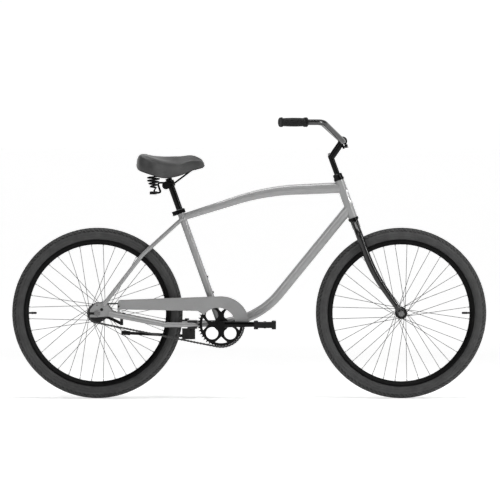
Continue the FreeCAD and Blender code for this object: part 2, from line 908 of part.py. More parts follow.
def chain_route():
    """Pin positions of the chain round sprocket and ring, and the angle of one pin on each."""
    pitch = val("chain_pitch")
    small, large = (pitch / (2 * math.sin(math.pi / val(t))) for t in ("sprocket_teeth", "ring_teeth"))
    span = BRACKET - REAR
    lean = math.atan2(span.z, span.x)
    cone = math.asin((large - small) / span.Length)
    run = math.sqrt(span.Length**2 - (large - small) ** 2)
    low = lean - math.pi / 2 - cone
    high = lean + math.pi / 2 + cone
    ring_arc = large * (high - low)
    sprocket_arc = small * (2 * math.pi - (high - low))
    length = 2 * run + ring_arc + sprocket_arc

    def on_circle(centre, radius, angle):
        return centre + Vector(math.cos(angle), 0, math.sin(angle)) * radius

    def place(distance):
        distance %= length
        if distance < ring_arc:
            return on_circle(BRACKET, large, low + distance / large)
        distance -= ring_arc
        if distance < run:
            start = on_circle(BRACKET, large, high)
            return start + (on_circle(REAR, small, high) - start) * (distance / run)
        distance -= run
        if distance < sprocket_arc:
            return on_circle(REAR, small, high + distance / small)
        start = on_circle(REAR, small, low)
        return start + (on_circle(BRACKET, large, low) - start) * ((distance - sprocket_arc) / run)

    links = 2 * round(length / val("2 * chain_pitch"))
    step = length / links
    ring_phase = low + round(ring_arc / 2 / step) * step / large
    sprocket_middle = round((ring_arc + run + sprocket_arc / 2) / step) * step
    sprocket_phase = high + (sprocket_middle - ring_arc - run) / small
    return [place(index * step) for index in range(links)], ring_phase, sprocket_phase


CHAIN_PINS, RING_PHASE, SPROCKET_PHASE = chain_route()


def toothed(name, teeth, phase, level):
    """Toothed disc whose gaps, turned to the phase angle, hold the chain's rollers."""
    pitch_radius = f"(chain_pitch / (2 * sin(180 / {teeth})))"
    root = f"({pitch_radius} - tooth_depth)"
    tip = f"({pitch_radius} + tooth_tip_height)"
    turn = Rotation(Z_AXIS, math.degrees(phase) + 180 / val(teeth))
    body = new_body(name, Placement(level, SIDEWAYS.multiply(turn)))
    add_pad(body, "ring_thickness", rounds=[("0", "0", root)])
    foot = f"({root} - tooth_depth / 2)"
    tooth = add_pad(
        body,
        "ring_thickness",
        [
            (foot, "-tooth_base_width / 2"),
            (root, "-tooth_base_width / 2"),
            (tip, "-tooth_tip_width / 2"),
            (tip, "tooth_tip_width / 2"),
            (root, "tooth_base_width / 2"),
            (foot, "tooth_base_width / 2"),
        ],
    )
    polar(body, tooth, teeth)
    return body


def make_chainring():
    level = BRACKET - Y_AXIS * val("chain_line - ring_thickness / 2")
    disc = toothed("Chainring", "ring_teeth", RING_PHASE, level)
    back = "ring_window_rim * cos(asin(ring_window_width / 2 / ring_window_rim))"
    window = [
        ("ring_window_apex", "0"),
        (back, "-ring_window_width / 2", "ring_window_rim"),
        (back, "ring_window_width / 2"),
    ]
    hole = ("ring_hole_circle", "0", "ring_hole_radius")
    below = level + Y_AXIS * val("ring_thickness")
    diagonal = SIDEWAYS.multiply(Rotation(Z_AXIS, 180 / val("ring_openings")))
    cutter = padded("RingHoles", "3 * ring_thickness", Placement(below, diagonal), rounds=[hole])
    polar(cutter, cutter.Tip, "ring_openings")
    windows = padded("RingWindows", "3 * ring_thickness", beside(below), window)
    polar(windows, windows.Tip, "ring_openings")
    bore = cylinder("crank_spindle_diameter / 2 + seat_gap", "3 * ring_thickness", beside(below))
    keep(cut(disc, cutter, windows, bore), "chainring")


def make_sprocket():
    """Rear sprocket on the brake hub's driver, which turns on the right-hand cone."""
    level = REAR - Y_AXIS * val("chain_line - ring_thickness / 2")
    disc = toothed("Sprocket", "sprocket_teeth", SPROCKET_PHASE, level)
    start = "rear_flange_spacing / 2 + hub_neck_length + fit_gap"
    driver = cylinder("driver_radius", "driver_width + ring_thickness", beside(REAR, val(start)))
    bore = cylinder(
        "cone_radius + running_fit",
        "rear_hub_width / 2",
        beside(REAR, val(start) - val("fit_gap")),
    )
    keep(cut(fuse(disc, driver), bore), "rear_sprocket")


def link_plate(start, end, inset):
    """Waisted side plate of one link, from pin to pin."""
    round_end = val("chain_plate_height / 2")
    thick = val("chain_plate_thickness")
    base = Y_AXIS * -inset
    ends = [Part.makeCylinder(round_end, thick, pin + base, -Y_AXIS) for pin in (start, end)]
    run = end - start
    rise = run.cross(Y_AXIS).normalize() * (round_end * val("chain_waist_share"))
    corners = [start + rise, end + rise, end - rise, start - rise, start + rise]
    waist = Part.Face(Part.makePolygon([corner + base for corner in corners])).extrude(-Y_AXIS * thick)
    return ends[0].fuse([ends[1], waist]).removeSplitter()


def make_chain():
    """Roller chain: inner links with two rollers and outer links with two pins, in turn."""
    line = val("chain_line")
    inner = val("chain_inner_width / 2")
    thick = val("chain_plate_thickness")
    gap = val("seat_gap")
    links = []
    for index, start in enumerate(CHAIN_PINS):
        end = CHAIN_PINS[(index + 1) % len(CHAIN_PINS)]
        outer = index % 2
        face = inner + (thick + gap if outer else 0)
        pieces = [link_plate(start, end, line - face - thick), link_plate(start, end, line + face)]
        radius = val("chain_pin_diameter / 2") if outer else val("roller_diameter / 2")
        for pin in (start, end):
            pieces.append(Part.makeCylinder(radius, 2 * face, pin - Y_AXIS * (line - face), -Y_AXIS))
        link = pieces[0].fuse(pieces[1:])
        if not outer:
            hole = val("chain_pin_diameter / 2") + gap
            bores = [Part.makeCylinder(hole, 2 * line, pin, -Y_AXIS) for pin in (start, end)]
            link = link.cut(Part.makeCompound(bores))
        links.append(link)
    keep(feature(Part.makeCompound(links)), "chain")


def crank_arm(side):
    """Oval forged arm that tapers from the spindle to the pedal eye."""
    inset = -side * val("crank_inset + crank_thickness / 2")
    root = BRACKET - Y_AXIS * inset
    eye = root - X_AXIS * side * val("crank_length")
    thick = val("crank_thickness")
    flat = val("crank_arm_thickness")
    sections = (val("crank_root_height"), flat), (val("crank_tip_height"), flat)
    arm = feature(pipe([root, eye], 0, *sections))
    boss = cylinder("crank_boss_radius", "crank_thickness", beside(root, -thick / 2))
    end = cylinder("crank_eye_radius", "crank_thickness", beside(eye, -thick / 2))
    return fuse(arm, boss, end)


def make_crank():
    """One-piece crank with its bearing cones, and the two pedal spindles screwed into it."""
    half = "(crank_inset + crank_thickness / 2)"
    arms = [crank_arm(side) for side in SIDES.values()]
    spindle = cylinder("crank_spindle_diameter / 2", f"2 * {half}", beside(BRACKET, -val(half)))
    pieces = [fuse(spindle, *arms)]
    for side in (1, -1):
        place = beside(BRACKET).multiply(Placement(Vector(), Rotation(X_AXIS, 0 if side > 0 else 180)))
        low = "shell_width / 2 + bracket_cup_flange + fit_gap + seat_gap"
        high = "chain_line - ring_thickness / 2 - seat_gap"
        lock = ring("crank_spindle_diameter / 2 + seat_gap", "crank_lock_radius", low, high)
        pieces.append(revolved("Lock", lock, place))
        face = val("crank_inset + crank_thickness + seat_gap")
        start = BRACKET + Vector(side * val("crank_length"), -side * face, 0)
        end = start - Y_AXIS * side * val("pedal_gap + pedal_width - pedal_frame")
        pieces.append(rod("pedal_spindle_diameter / 2", start, end))
    keep(group(*pieces), "crank")


def make_bracket_bearings():
    """Pressed cups of the bottom bracket and their balls, which ride with the crank."""
    race = "(crank_spindle_diameter / 2 + bracket_ball_diameter + 2 * fit_gap)"
    cups = []
    balls = []
    circle = val("crank_spindle_diameter / 2 + bracket_ball_diameter / 2 + fit_gap")
    for side in (1, -1):
        place = beside(BRACKET).multiply(Placement(Vector(), Rotation(X_AXIS, 0 if side > 0 else 180)))
        face = "(shell_width / 2)"
        cup = [
            (race, f"{face} - bracket_cup_depth"),
            ("shell_bore / 2", f"{face} - bracket_cup_depth"),
            ("shell_bore / 2", face),
            ("shell_diameter / 2", face),
            ("shell_diameter / 2", f"{face} + bracket_cup_flange"),
            (race, f"{face} + bracket_cup_flange"),
        ]
        cups.append(revolved("Cup", cup, place))
        for index in range(int(val("bracket_ball_count"))):
            turn = 2 * math.pi * index / val("bracket_ball_count")
            spot = Vector(
                circle * math.cos(turn),
                circle * math.sin(turn),
                side * val("bracket_ball_level"),
            )
            balls.append(Part.makeSphere(val("bracket_ball_diameter / 2"), spot))
    keep(group(*cups), "bottom_bracket_cups")
    cage = feature(Part.makeCompound(balls))
    cage.Placement = beside(BRACKET)
    keep(cage, "bottom_bracket_balls")


def make_pedals():
    """Platform pedals: a barrel on the spindle inside a barred frame."""
    for name, side in SIDES.items():
        centre = BRACKET - X_AXIS * side * val("crank_length")
        face = val("crank_inset + crank_thickness + pedal_gap")
        start = centre + Y_AXIS * side * face
        place = Placement(start, SIDEWAYS if side < 0 else OTHER_SIDE)
        across = val("pedal_length - pedal_frame") / 2
        bars = [
            box(
                "pedal_frame",
                "pedal_height",
                "pedal_width",
                place.multiply(Placement(Vector(x, 0, 0), Rotation())),
            )
            for x in (-across, across)
        ]
        levels = (0, val("pedal_width - pedal_frame") / 2, val("pedal_width - pedal_frame"))
        web = ("pedal_length", "pedal_height * pedal_web_share", "pedal_frame")
        webs = [box(*web, up_from(place, level)) for level in levels]
        barrel = cylinder("pedal_barrel_diameter / 2", "pedal_width", place)
        bore = cylinder(
            "pedal_spindle_diameter / 2 + running_fit",
            "pedal_width - pedal_frame / 2",
            place,
        )
        keep(cut(fuse(barrel, *bars, *webs), bore), f"{name}_pedal")


def make_guard():
    """Sheet chain guard with a turned-in top edge."""
    bx, bz = BRACKET.x, BRACKET.z
    rise = "sqrt(guard_radius^2 - guard_mouth_rise^2)"
    top = [
        (rise, "guard_mouth_rise", "guard_radius"),
        ("0", "guard_radius"),
        (f"guard_rear_x - ({bx}) + guard_corner", f"guard_rear_top - {bz}", "guard_corner"),
        (f"guard_rear_x - ({bx})", f"guard_rear_top - {bz} - guard_corner"),
    ]
    under = [
        (f"guard_rear_x - ({bx})", f"guard_rear_bottom - {bz} + guard_corner", "guard_corner"),
        (f"guard_rear_x - ({bx}) + guard_corner", f"guard_rear_bottom - {bz}"),
        (f"guard_waist_x - ({bx})", f"guard_waist_z - {bz}"),
        ("-guard_cusp_back", "guard_cusp_rise", "-guard_inner_radius"),
        ("guard_mouth", "guard_mouth_rise"),
    ]
    guard = padded("Guard", "guard_thickness", beside(BRACKET, val("guard_inset")), top + under)
    inner = "(guard_radius - guard_thickness)"
    rear = f"(guard_rear_x - ({bx}) + guard_corner)"
    strip = [
        (rise, "guard_mouth_rise", "guard_radius"),
        ("0", "guard_radius"),
        (rear, f"guard_rear_top - {bz}"),
        (rear, f"guard_rear_top - {bz} - guard_thickness"),
        ("0", inner, f"-{inner}"),
        (f"sqrt({inner}^2 - guard_mouth_rise^2)", "guard_mouth_rise"),
    ]
    add_pad(guard, "guard_flange", strip, reverse=True)
    keep(guard, "chain_guard")


def make_guard_tab():
    """Strap that joins the guard's rear end to the right chainstay."""
    middle = val("guard_rear_x") - val("guard_tab_width") / 2 + val("guard_corner")
    start = Vector(
        middle,
        -val("guard_inset + guard_thickness + guard_tab_thickness / 2 + seat_gap"),
        val("guard_tab_foot"),
    )
    height = "guard_rear_bottom + guard_tab_lap - guard_tab_foot"
    strap = box("guard_tab_width", "guard_tab_thickness", height, Placement(start, Rotation()))
    keep(cut(strap, feature(stay_pipe("right"))), "chain_guard_bracket")


# Frame


def seat_tool(extra="0"):
    """Outside of the seat tube, for cutting what meets it."""
    return cylinder(f"seat_tube_diameter / 2 + {extra}", "2 * seat_tube_length", SEAT)


def head_tool():
    return cylinder(
        "head_tube_diameter / 2",
        "2 * head_tube_length",
        up_from(STEER, -val("head_tube_length") / 2),
    )


def shell_tool():
    return cylinder("shell_diameter / 2", "shell_width", beside(BRACKET, -val("shell_width") / 2))


def make_main_tubes():
    head = revolved(
        "HeadTube",
        ring("head_tube_bore / 2", "head_tube_diameter / 2", "0", "head_tube_length"),
        STEER,
    )
    keep(head, "head_tube")
    bore = "seat_post_diameter / 2 + running_fit"
    seat = revolved("SeatTube", ring(bore, "seat_tube_diameter / 2", "0", "seat_tube_length"), SEAT)
    keep(cut(seat, shell_tool()), "seat_tube")
    half = "shell_width / 2"
    shell = revolved(
        "Shell",
        ring("shell_bore / 2", "shell_diameter / 2", f"-{half}", half),
        beside(BRACKET),
    )
    keep(shell, "bottom_bracket_shell")
    make_top_tube()
    make_down_tube()


def make_top_tube():
    """Swept top tube, oval and deep at the head, slim at the seat."""
    wall = val("tube_wall_thickness")
    head = STEER.multVec(Vector(0, 0, val("head_tube_length - top_tube_head_drop")))
    knee = Vector(val("top_tube_knee_x"), 0, val("top_tube_knee_z"))
    seat = SEAT.multVec(Vector(0, 0, val("top_tube_seat_rise")))
    deep = (val("top_tube_height"), val("top_tube_width"))
    slim = (val("top_tube_seat_height"), val("top_tube_seat_width"))
    half_turn = (knee - seat).getAngle(head - knee) / 2
    forward = (head - knee).normalize()
    joint = knee + forward * (val("top_tube_bend_radius") * math.tan(half_turn) + val("top_tube_height"))
    rear = tube([seat, knee, joint], val("top_tube_bend_radius"), wall, slim, deep)
    front = tube([joint, head], 0, wall, deep)
    keep(cut(feature(rear.fuse(front).removeSplitter()), seat_tool(), head_tool()), "top_tube")


def make_down_tube():
    """Down tube, straight from the head and curving in to the bottom bracket."""
    head = STEER.multVec(Vector(0, 0, val("down_tube_head_rise")))
    slope = math.radians(val("down_tube_angle"))
    foot = math.radians(val("down_tube_foot_angle"))
    down = Vector(-math.sin(slope), 0, -math.cos(slope))
    away = Vector(math.cos(foot), 0, math.sin(foot))
    gap = BRACKET - head
    reach = (gap.x * away.z - gap.z * away.x) / (down.x * away.z - down.z * away.x)
    section = (val("down_tube_height"), val("down_tube_width"))
    points = [head, head + down * reach, BRACKET]
    shape = tube(points, val("down_tube_bend_radius"), val("tube_wall_thickness"), section)
    keep(cut(feature(shape), head_tool(), shell_tool()), "down_tube")


def stay_points(name):
    """Chainstay route from the dropout, round the tyre, to the bracket shell."""
    side = SIDES[name]
    end_x = REAR.x + val("dropout_front - chainstay_lap")
    end_half = val("rear_hub_width / 2 + dropout_thickness / 2")
    return [
        Vector(end_x, side * end_half, REAR.z - val("chainstay_end_drop")),
        Vector(val("chainstay_knee_x"), side * val("chainstay_knee_half"), val("chainstay_knee_z")),
        Vector(val("chainstay_tyre_x"), side * val("chainstay_tyre_half"), val("chainstay_knee_z")),
        Vector(val("chainstay_waist_x"), side * val("chainstay_waist_half"), val("chainstay_knee_z")),
        Vector(BRACKET.x - val("shell_bore") / 2, side * val("chainstay_front_half"), BRACKET.z),
    ]


def stay_pipe(name):
    size = val("chainstay_diameter")
    return pipe(stay_points(name), val("chainstay_bend_radius"), (size, size))


def seatstay_points(name):
    side = SIDES[name]
    top = SEAT.multVec(Vector(0, side * val("seatstay_top_half"), val("seatstay_top_rise")))
    knee = Vector(val("seatstay_knee_x"), side * val("seatstay_knee_half"), val("seatstay_knee_z"))
    end_half = val("rear_hub_width / 2 + dropout_thickness / 2")
    end = REAR + Vector(val("seatstay_end_x"), side * end_half, val("seatstay_end_z"))
    return [top, knee, end]


def make_stays():
    wall = val("tube_wall_thickness")
    plates = {name: dropout(name) for name in SIDES}
    for name in SIDES:
        size = val("chainstay_diameter")
        stay = feature(tube(stay_points(name), val("chainstay_bend_radius"), wall, (size, size)))
        keep(cut(stay, shell_tool(), plates[name]), f"{name}_chainstay")
        size = val("seatstay_diameter")
        stay = feature(tube(seatstay_points(name), val("seatstay_bend_radius"), wall, (size, size)))
        keep(cut(stay, seat_tool(), plates[name]), f"{name}_seatstay")
    keep(group(*plates.values()), "rear_dropouts")
    make_bridge()


def dropout(name):
    """Frame end with a rear-facing axle slot, a window and a threaded eyelet."""
    slot = "(axle_diameter / 2 + seat_gap)"
    corners = [
        ("-dropout_rear", f"-{slot}"),
        ("dropout_slot_front", f"-{slot}", slot),
        (f"dropout_slot_front + {slot}", "0", slot),
        ("dropout_slot_front", slot),
        ("-dropout_rear", slot),
        ("-dropout_rear", "dropout_drop"),
        ("-dropout_rear / 2", "eyelet_height"),
        ("-eyelet_diameter", "dropout_top"),
        ("dropout_seat_front", "dropout_top"),
        ("dropout_front", "chainstay_diameter / 4"),
        ("dropout_front", "-chainstay_diameter / 2"),
        ("0", "-dropout_drop"),
        ("-dropout_rear", "-dropout_drop"),
    ]
    inset = val("rear_hub_width / 2")
    place = beside(REAR, inset if name == "right" else -inset - val("dropout_thickness"))
    plate = padded("Dropout", "dropout_thickness", place, corners)
    window = (
        "dropout_slot_front + 2 * dropout_window_radius",
        "dropout_drop + seat_gap",
        "dropout_window_radius",
    )
    pocket(plate, rounds=[("0", "eyelet_height", "eyelet_diameter / 2"), window])
    return plate


def make_bridge():
    """Short tube between the seatstays, above the tyre."""
    top, knee, end = seatstay_points("left")
    spot = top + (knee - top) * val("bridge_share")
    ends = [Vector(spot.x, side * spot.y, spot.z) for side in SIDES.values()]
    bar = cut(rod("bridge_diameter / 2", *ends), rod("bridge_diameter / 2 - tube_wall_thickness", *ends))
    size = val("seatstay_diameter")
    bend = val("seatstay_bend_radius")
    stays = [feature(pipe(seatstay_points(name), bend, (size, size))) for name in SIDES]
    keep(cut(bar, *stays), "seatstay_bridge")


def make_screws():
    """Bottle boss screws, the chain guard's screw and the brake arm's clip with its bolt."""
    pieces = []
    for step in (0, 1):
        depth = val("seat_tube_diameter / 2 - screw_head_height")
        spot = SEAT.multVec(Vector(depth, 0, val("boss_low") + step * val("boss_spacing")))
        out = SEAT.Rotation.multVec(X_AXIS)
        head = cylinder("screw_head_diameter / 2", "2 * screw_head_height", along(spot, out))
        pieces.append(cut(head, seat_tool("seat_gap")))
    tab_x = val("guard_rear_x") - val("guard_tab_width") / 2 + val("guard_corner")
    tab_face = val("guard_inset + guard_thickness + guard_tab_thickness + 2 * seat_gap")
    spot = Vector(tab_x, -tab_face, val("guard_rear_bottom") + val("guard_tab_lap") / 2)
    pieces.append(cylinder("screw_head_diameter / 2", "screw_head_height", along(spot, -Y_AXIS)))
    keep(group(*pieces, *brake_clip()), "frame_screws")


def brake_direction():
    """The brake arm follows the left chainstay, a little below it."""
    stay = stay_points("left")
    return (stay[1] - stay[0]).normalize()


def brake_arm_end():
    face = val("rear_hub_width / 2 - brake_arm_thickness - seat_gap")
    run = brake_direction()
    flat = Vector(run.x, 0, run.z).normalize()
    drop = Vector(0, 0, -val("chainstay_diameter / 2 + brake_arm_width / 2 + brake_arm_drop"))
    return REAR + Y_AXIS * face + flat * val("brake_arm_length") + drop


def make_brake_arm():
    """Coaster brake arm with its dish against the hub's left end."""
    inner = "(rear_flange_spacing / 2 + hub_neck_length + fit_gap)"
    outer = "(rear_hub_width / 2 - seat_gap)"
    bore = "cone_radius + seat_gap"
    neck = "cone_radius + tyre_wall"
    dish = [
        (bore, inner),
        ("brake_dish_radius", inner),
        ("brake_dish_radius", f"{inner} + brake_arm_thickness"),
        (neck, f"{inner} + brake_arm_thickness"),
        (neck, f"{outer} - brake_arm_thickness"),
        (bore, f"{outer} - brake_arm_thickness"),
    ]
    left = beside(REAR).multiply(Placement(Vector(), Rotation(X_AXIS, 180)))
    end = brake_arm_end()
    run = Vector(end.x - REAR.x, 0, end.z - REAR.z)
    turn = Rotation(Z_AXIS, math.degrees(math.atan2(run.z, run.x)))
    length = run.Length
    half = "brake_arm_width / 2"
    corners = [
        ("0", f"-{half}"),
        (f"{length}", f"-{half}", half),
        (f"{length} + {half}", "0", half),
        (f"{length}", half),
        ("0", half),
    ]
    face = val("rear_hub_width / 2 - seat_gap")
    place = Placement(REAR + Y_AXIS * face, SIDEWAYS.multiply(turn))
    bar = padded("BrakeArm", "brake_arm_thickness", place, corners)
    eye = cylinder(f"{neck} + seat_gap", "brake_arm_thickness", place)
    hole = cylinder(
        "axle_diameter / 2 + seat_gap",
        "3 * brake_arm_thickness",
        up_from(place, -val("brake_arm_thickness")),
    )
    keep(cut(fuse(revolved("Dish", dish, left), bar, eye), hole), "brake_arm")


def brake_clip():
    """Band round the left chainstay that holds the brake arm, and its bolt."""
    stay = stay_points("left")
    run = brake_direction()
    middle = stay[0] + run * (brake_arm_end() - stay[0]).dot(run)
    width = "brake_arm_width"
    place = along(middle - run * val(width) / 2, run)
    size = "chainstay_diameter / 2"
    band = cylinder(f"{size} + guard_tab_thickness", width, place)
    end = brake_arm_end()
    foot = end - Y_AXIS * val("seat_gap + guard_tab_thickness / 2") - Z_AXIS * val(width) / 2
    tab = box(width, "guard_tab_thickness", f"{middle.z - foot.z}", Placement(foot, Rotation()))
    stay_room = cylinder(
        f"{size} + seat_gap",
        f"3 * {width}",
        along(middle - run * 1.5 * val(width), run),
    )
    spot = end - Y_AXIS * val("2 * seat_gap + guard_tab_thickness")
    head = cylinder("screw_head_diameter / 2", "screw_head_height", along(spot, -Y_AXIS))
    return [cut(fuse(band, tab), stay_room), head]


# Steering


def make_headset():
    """Pressed cups in the head tube; cones, lock nut and balls that turn with the fork."""
    ball = val("headset_ball_diameter / 2")
    circle = val("cup_cavity_radius + race_cone_radius") / 2
    floor = "(cup_height - headset_ball_diameter - 2 * fit_gap)"
    cups = []
    moving = []
    balls = []
    top = up_from(STEER, val("head_tube_length"))
    flip = STEER.multiply(Placement(Vector(), Rotation(X_AXIS, 180)))
    for place, stack in ((top, "headset_stack"), (flip, "cup_height + crown_gap")):
        cup = [
            ("steerer_diameter / 2 + fit_gap", "-cup_insert"),
            ("head_tube_bore / 2", "-cup_insert"),
            ("head_tube_bore / 2", "0"),
            ("cup_radius", "0"),
            ("cup_radius", "cup_height"),
            ("cup_cavity_radius", "cup_height"),
            ("cup_cavity_radius", floor),
            ("steerer_diameter / 2 + fit_gap", floor),
        ]
        cups.append(revolved("Cup", cup, place))
        cone = [
            ("steerer_diameter / 2 + seat_gap", f"{floor} + fit_gap"),
            ("race_cone_radius", f"{floor} + fit_gap"),
            ("race_cone_radius", "cup_height"),
            ("cup_cavity_radius", "cup_height + fit_gap"),
            ("cup_cavity_radius", f"{stack} - race_chamfer"),
            ("cup_cavity_radius - race_chamfer", stack),
            ("steerer_diameter / 2 + seat_gap", stack),
        ]
        moving.append(revolved("Race", cone, place))
        for index in range(int(val("headset_ball_count"))):
            turn = 2 * math.pi * index / val("headset_ball_count")
            spot = Vector(
                circle * math.cos(turn),
                circle * math.sin(turn),
                val(f"{floor} + fit_gap") + ball,
            )
            balls.append(Part.makeSphere(ball, place.multVec(spot)))
    keep(group(*cups), "headset_cups")
    keep(group(*moving, feature(Part.makeCompound(balls))), "headset_races")


def make_steerer():
    """Steerer tube on the fork crown."""
    crown = "(cup_height + crown_gap + seat_gap)"
    outer = "steerer_diameter / 2"
    corners = [
        ("quill_diameter / 2 + running_fit", f"-{crown} - crown_height"),
        ("crown_radius", f"-{crown} - crown_height"),
        ("crown_radius", f"-{crown}"),
        (outer, f"-{crown}"),
        (outer, "head_tube_length + headset_stack - fit_gap"),
        ("quill_diameter / 2 + running_fit", "head_tube_length + headset_stack - fit_gap"),
    ]
    keep(revolved("Steerer", corners, STEER), "fork_steerer")


def blade_points(side):
    """Fork blade route: out from the crown, down the steering line, then raked forward to the axle."""
    crown = -val("cup_height + crown_gap + seat_gap + crown_height / 2")
    spread = val("fork_spread")
    start = STEER.multVec(Vector(0, side * val("crown_radius * blade_root_share"), crown))
    shoulder = STEER.multVec(Vector(0, side * spread, crown - spread * val("blade_shoulder_share")))
    bend = STEER.multVec(Vector(0, side * spread, -val("fork_bend_drop")))
    axle = FRONT + Y_AXIS * side * val("front_hub_width / 2 + fork_end_thickness / 2")
    end = axle + (bend - axle).normalize() * val("fork_end_length")
    return start, shoulder, bend, end, axle


def make_blades():
    wall = val("fork_wall")
    big = val("fork_blade_diameter")
    tip = val("fork_tip_diameter")
    crown = cylinder(
        "crown_radius",
        "crown_height",
        up_from(STEER, -val("cup_height + crown_gap + seat_gap + crown_height")),
    )
    for name, side in SIDES.items():
        *route, end, axle = blade_points(side)
        bends = [val("fork_shoulder_radius"), val("fork_bend_radius")]
        shape = tube([*route, end], bends, wall, (big, big), (tip, tip))
        blade = cut(feature(shape), crown)
        run = Vector(end.x - axle.x, 0, end.z - axle.z)
        turn = Rotation(Z_AXIS, math.degrees(math.atan2(run.z, run.x)))
        length = run.Length
        half = "fork_end_radius"
        corners = [
            ("0", f"-{half}"),
            (f"{length} + fork_tip_diameter / 2", "-fork_tip_diameter / 2 + fork_wall / 2"),
            (f"{length} + fork_tip_diameter / 2", "fork_tip_diameter / 2 - fork_wall / 2"),
            ("0", half, half),
            (f"-{half}", "0", half),
        ]
        half_hub = val("front_hub_width") / 2
        inset = half_hub if side < 0 else -half_hub - val("fork_end_thickness")
        place = Placement(FRONT - Y_AXIS * inset, SIDEWAYS.multiply(turn))
        plate = padded("ForkEnd", "fork_end_thickness", place, corners)
        pocket(plate, rounds=[("0", "0", "axle_diameter / 2 + seat_gap")])
        keep(fuse(blade, plate), f"{name}_fork_blade")


def make_stem():
    """Quill stem with a forward extension and a split clamp; its expander and pinch bolts."""
    knee = STEER.multVec(Vector(0, 0, val("stem_rise")))
    clamp = Vector(val("clamp_x"), 0, val("clamp_z"))
    foot = STEER.multVec(Vector(0, 0, val("stem_foot")))
    quill = rod("quill_diameter / 2", foot, knee + STEER_UP * val("quill_diameter / 2"))
    arm = rod("stem_extension_diameter / 2", knee, clamp)
    barrel = cylinder("clamp_outer_diameter / 2", "clamp_width", beside(clamp, -val("clamp_width") / 2))
    down = -STEER_UP
    lug_place = along(clamp, down)
    lug_reach = "clamp_outer_diameter / 2 + clamp_lug"
    lug = box("clamp_lug_width", "clamp_width * clamp_lug_share", lug_reach, lug_place)
    slot = box("clamp_slot", "2 * clamp_width", f"{lug_reach} + clamp_slot", lug_place)
    eye = cylinder(
        "bar_sleeve_diameter / 2 + running_fit",
        "2 * clamp_width",
        beside(clamp, -val("clamp_width")),
    )
    bolt_level = Vector(0, 0, val("clamp_outer_diameter / 2 + clamp_lug / 2"))
    bolt_line = lug_place.multiply(Placement(bolt_level, Rotation(Y_AXIS, -90)))
    hole = cylinder(
        "stem_bolt_diameter / 2 + seat_gap",
        "2 * clamp_width",
        up_from(bolt_line, -val("clamp_width")),
    )
    top = val("stem_rise + quill_diameter / 2")
    bolt = "stem_bolt_diameter"
    core = cylinder(
        f"{bolt} / 2 + seat_gap",
        "2 * stem_rise",
        up_from(STEER, val("stem_foot - fit_gap")),
    )
    recess = cylinder(f"{bolt} + seat_gap", "stem_extension_diameter", up_from(STEER, top))
    keep(cut(fuse(quill, arm, barrel, lug), eye, slot, hole, core, recess), "stem")
    half = "clamp_lug_width / 2"
    pinch = cylinder(f"{bolt} / 2", "clamp_lug_width + seat_gap", up_from(bolt_line, -val(half)))
    head = cylinder(bolt, f"{bolt} / 2", up_from(bolt_line, val(f"{half} + seat_gap")))
    low = val("stem_foot - wedge_length")
    start = STEER.multVec(Vector(0, 0, low + val("wedge_length") / 2))
    expander = rod(f"{bolt} / 2", start, STEER.multVec(Vector(0, 0, top + val("seat_gap"))))
    cap = cylinder(bolt, bolt, up_from(STEER, top + val("seat_gap")))
    wedge = cylinder("quill_diameter / 2", "wedge_length - seat_gap", up_from(STEER, low))
    keep(group(fuse(pinch, head), fuse(expander, cap, wedge)), "stem_bolts")


def bar_points():
    """Handlebar route from the left end to the right one."""
    half = [
        Vector(val("bar_end_x"), val("bar_end_half"), val("bar_grip_z")),
        Vector(val("bar_bend_x"), val("bar_bend_half"), val("bar_grip_z")),
        Vector(val("clamp_x"), val("bar_clamp_half"), val("clamp_z")),
    ]
    return half + [Vector(point.x, -point.y, point.z) for point in reversed(half)]


def make_handlebar():
    size = val("bar_diameter")
    shape = tube(bar_points(), val("bar_bend_radius"), val("bar_wall"), (size, size))
    clamp = Vector(val("clamp_x"), 0, val("clamp_z"))
    sleeve = cylinder("bar_sleeve_diameter / 2", "clamp_width", beside(clamp, -val("clamp_width") / 2))
    bore = cylinder("bar_diameter / 2 - bar_wall", "2 * clamp_width", beside(clamp, -val("clamp_width")))
    keep(fuse(feature(shape), cut(sleeve, bore)), "handlebar")


def make_grips():
    """Rubber grips with a flange at each end, closed over the bar's end."""
    hold = "bar_diameter / 2 + running_fit"
    flange = "grip_flange_diameter / 2"
    body = "grip_diameter / 2"
    corners = [
        ("0", "-grip_flange_width / 2"),
        (flange, "-grip_flange_width / 2"),
        (flange, "grip_flange_width / 2"),
        (body, "grip_flange_width"),
        (body, "grip_length - 2 * grip_flange_width"),
        (flange, "grip_length - 1.5 * grip_flange_width"),
        (flange, "grip_length - grip_flange_width / 2"),
        (hold, "grip_length - grip_flange_width / 2"),
        (hold, "-seat_gap"),
        ("0", "-seat_gap"),
    ]
    points = bar_points()
    for name, end, bend in (("left", points[0], points[1]), ("right", points[-1], points[-2])):
        keep(revolved("Grip", corners, along(end, bend - end)), f"{name}_grip")


# Seat


